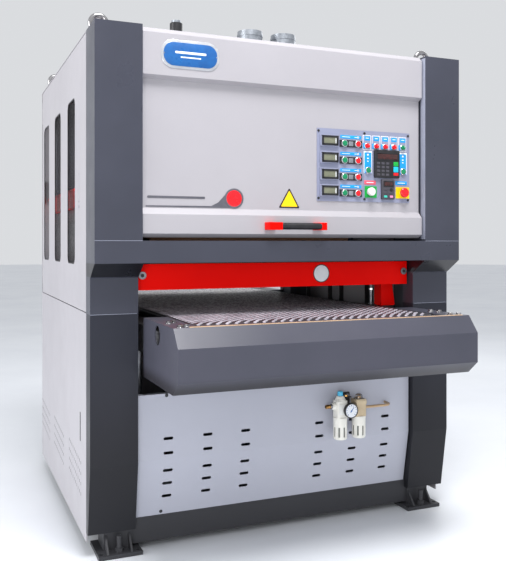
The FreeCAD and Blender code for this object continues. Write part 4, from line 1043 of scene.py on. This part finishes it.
def inner_rail():
    """Red rail and dark guard behind the left windows, fixed to the corner posts."""
    post = span("frame_tubes")[0].x
    low, high = span("head_beams")
    y = (low.y + high.y) / 2
    end_gap = 20
    length = high.y - low.y - 2 * end_gap
    rail = block(length, high.z - low.z, 30, 0, 2)
    lip = block(length, 10, 36, 0, 1)
    build("inner_rail", "frame",
          [placed(rail, "red_paint", LEFT, post, y, (low.z + high.z) / 2),
           placed(lip, "red_paint", LEFT, post, y, high.z - 5)])
    guard_height, guard_gap = 262, 3
    guard = block(length, guard_height, 3, 4, 0.8)
    stiffener = block(length - 20, 12, 8, 0, 2)
    build("inner_guard", "frame",
          [placed(guard, "black_plastic", LEFT, post, y, low.z - guard_gap - guard_height / 2),
           placed(stiffener, "black_plastic", LEFT, post - 2, y, low.z - 60)])


def spigot_details():
    """Bolted flange, foot weld and lip bead of each dust spigot, two to a drum."""
    top = span("top_cover")[1].z
    bolt_circle, bolts_round = 72, 8
    lip_rise, weld_rise = 150, 4
    bolts = []
    beads = []
    for drum in DRUMS:
        y = middle(drum).y
        for x in (18, 192):
            bolt = put(prism(6, 5.5, 4.5), UP, x + bolt_circle, y, top + 3)
            ring_of(bolt, (x, y, 0), (0, 0, 1), math.radians(360 / bolts_round), bolts_round)
            bolts.append((bolt, "zinc"))
            lip, weld = ring(62, 60, 12, 0.8, 48), ring(62.5, 60, 5, 1.2, 48)
            beads += [placed(lip, "galvanised", UP, x, y, top + lip_rise),
                      placed(weld, "galvanised", UP, x, y, top + weld_rise)]
    build("flange_bolts", "frame", bolts)
    build("spigot_beads", "frame", beads)


def gland_cap():
    x, y, top = -349, middle(DRUMS[0]).y, span("top_cover")[1].z
    build("gland_cap", "frame",
          [placed(ring(30, 22.1, 40, 3, 12), "black_plastic", UP, x, y, top + 138),
           placed(ring(27, 22.1, 22, 1.5, 6), "black_plastic", UP, x, y, top + 36)])


def screw_line(facing, start, step, count):
    """A straight line of small domed screws."""
    screw = put(button(5.5, 2.4, 0.8, 0.6, 12), facing, *start)
    return row_of(screw, step, count), "zinc"


def cover_screws():
    """Screws round the rear panel and along both edges of the roof."""
    rear = span("rear_panel")[1]
    roof = span("top_cover")[1].z
    upright, across, along = (0, 0, 230), (240, 0, 0), (0, 230, 0)
    screws = [screw_line(BACK, (x, rear.y, 150), upright, 9) for x in (-790, 790)]
    screws += [screw_line(BACK, (-600, rear.y, z), across, 6) for z in (rear.z - 24, 140)]
    build("rear_screws", "frame", screws)
    build("roof_screws", "frame",
          [screw_line(UP, (x, -480, roof), along, 6) for x in (-800, 800)])


def paint_nodes():
    """Give every CAD node the finish of its slot, and six of them a finish of their own; those of
    the lower columns, noses and cross beam hold painted shade.
    """
    looks = {part["node"]: part["material_slot"] for part in frame["record"]["subparts"]}
    looks.update(side_latch="panel_paint", lower_front_panel="lower_panel",
                 lower_columns="column_lower_shaded", table_noses="nose_paint_shaded_bottom",
                 anchor_bolts="frame_paint", cross_beam="beam_paint_shaded_underside")
    for name, look in looks.items():
        slots = frame["nodes"][name].data.materials
        slots.clear()
        slots.append(finishes[look])


finishes = make_finishes()
set_camera()
set_studio()
lay_floor()
paint_nodes()
door_marks()
door_handle()
panel_meters()
panel_keypads()
panel_labels()
switch_bases()
switch_bezels()
panel_screws()
push_buttons()
selectors()
bar_marks()
belt_ribs()
table_fittings()
air_set()
front_seams()
side_details()
inner_rail()
spigot_details()
gland_cap()
cover_screws()
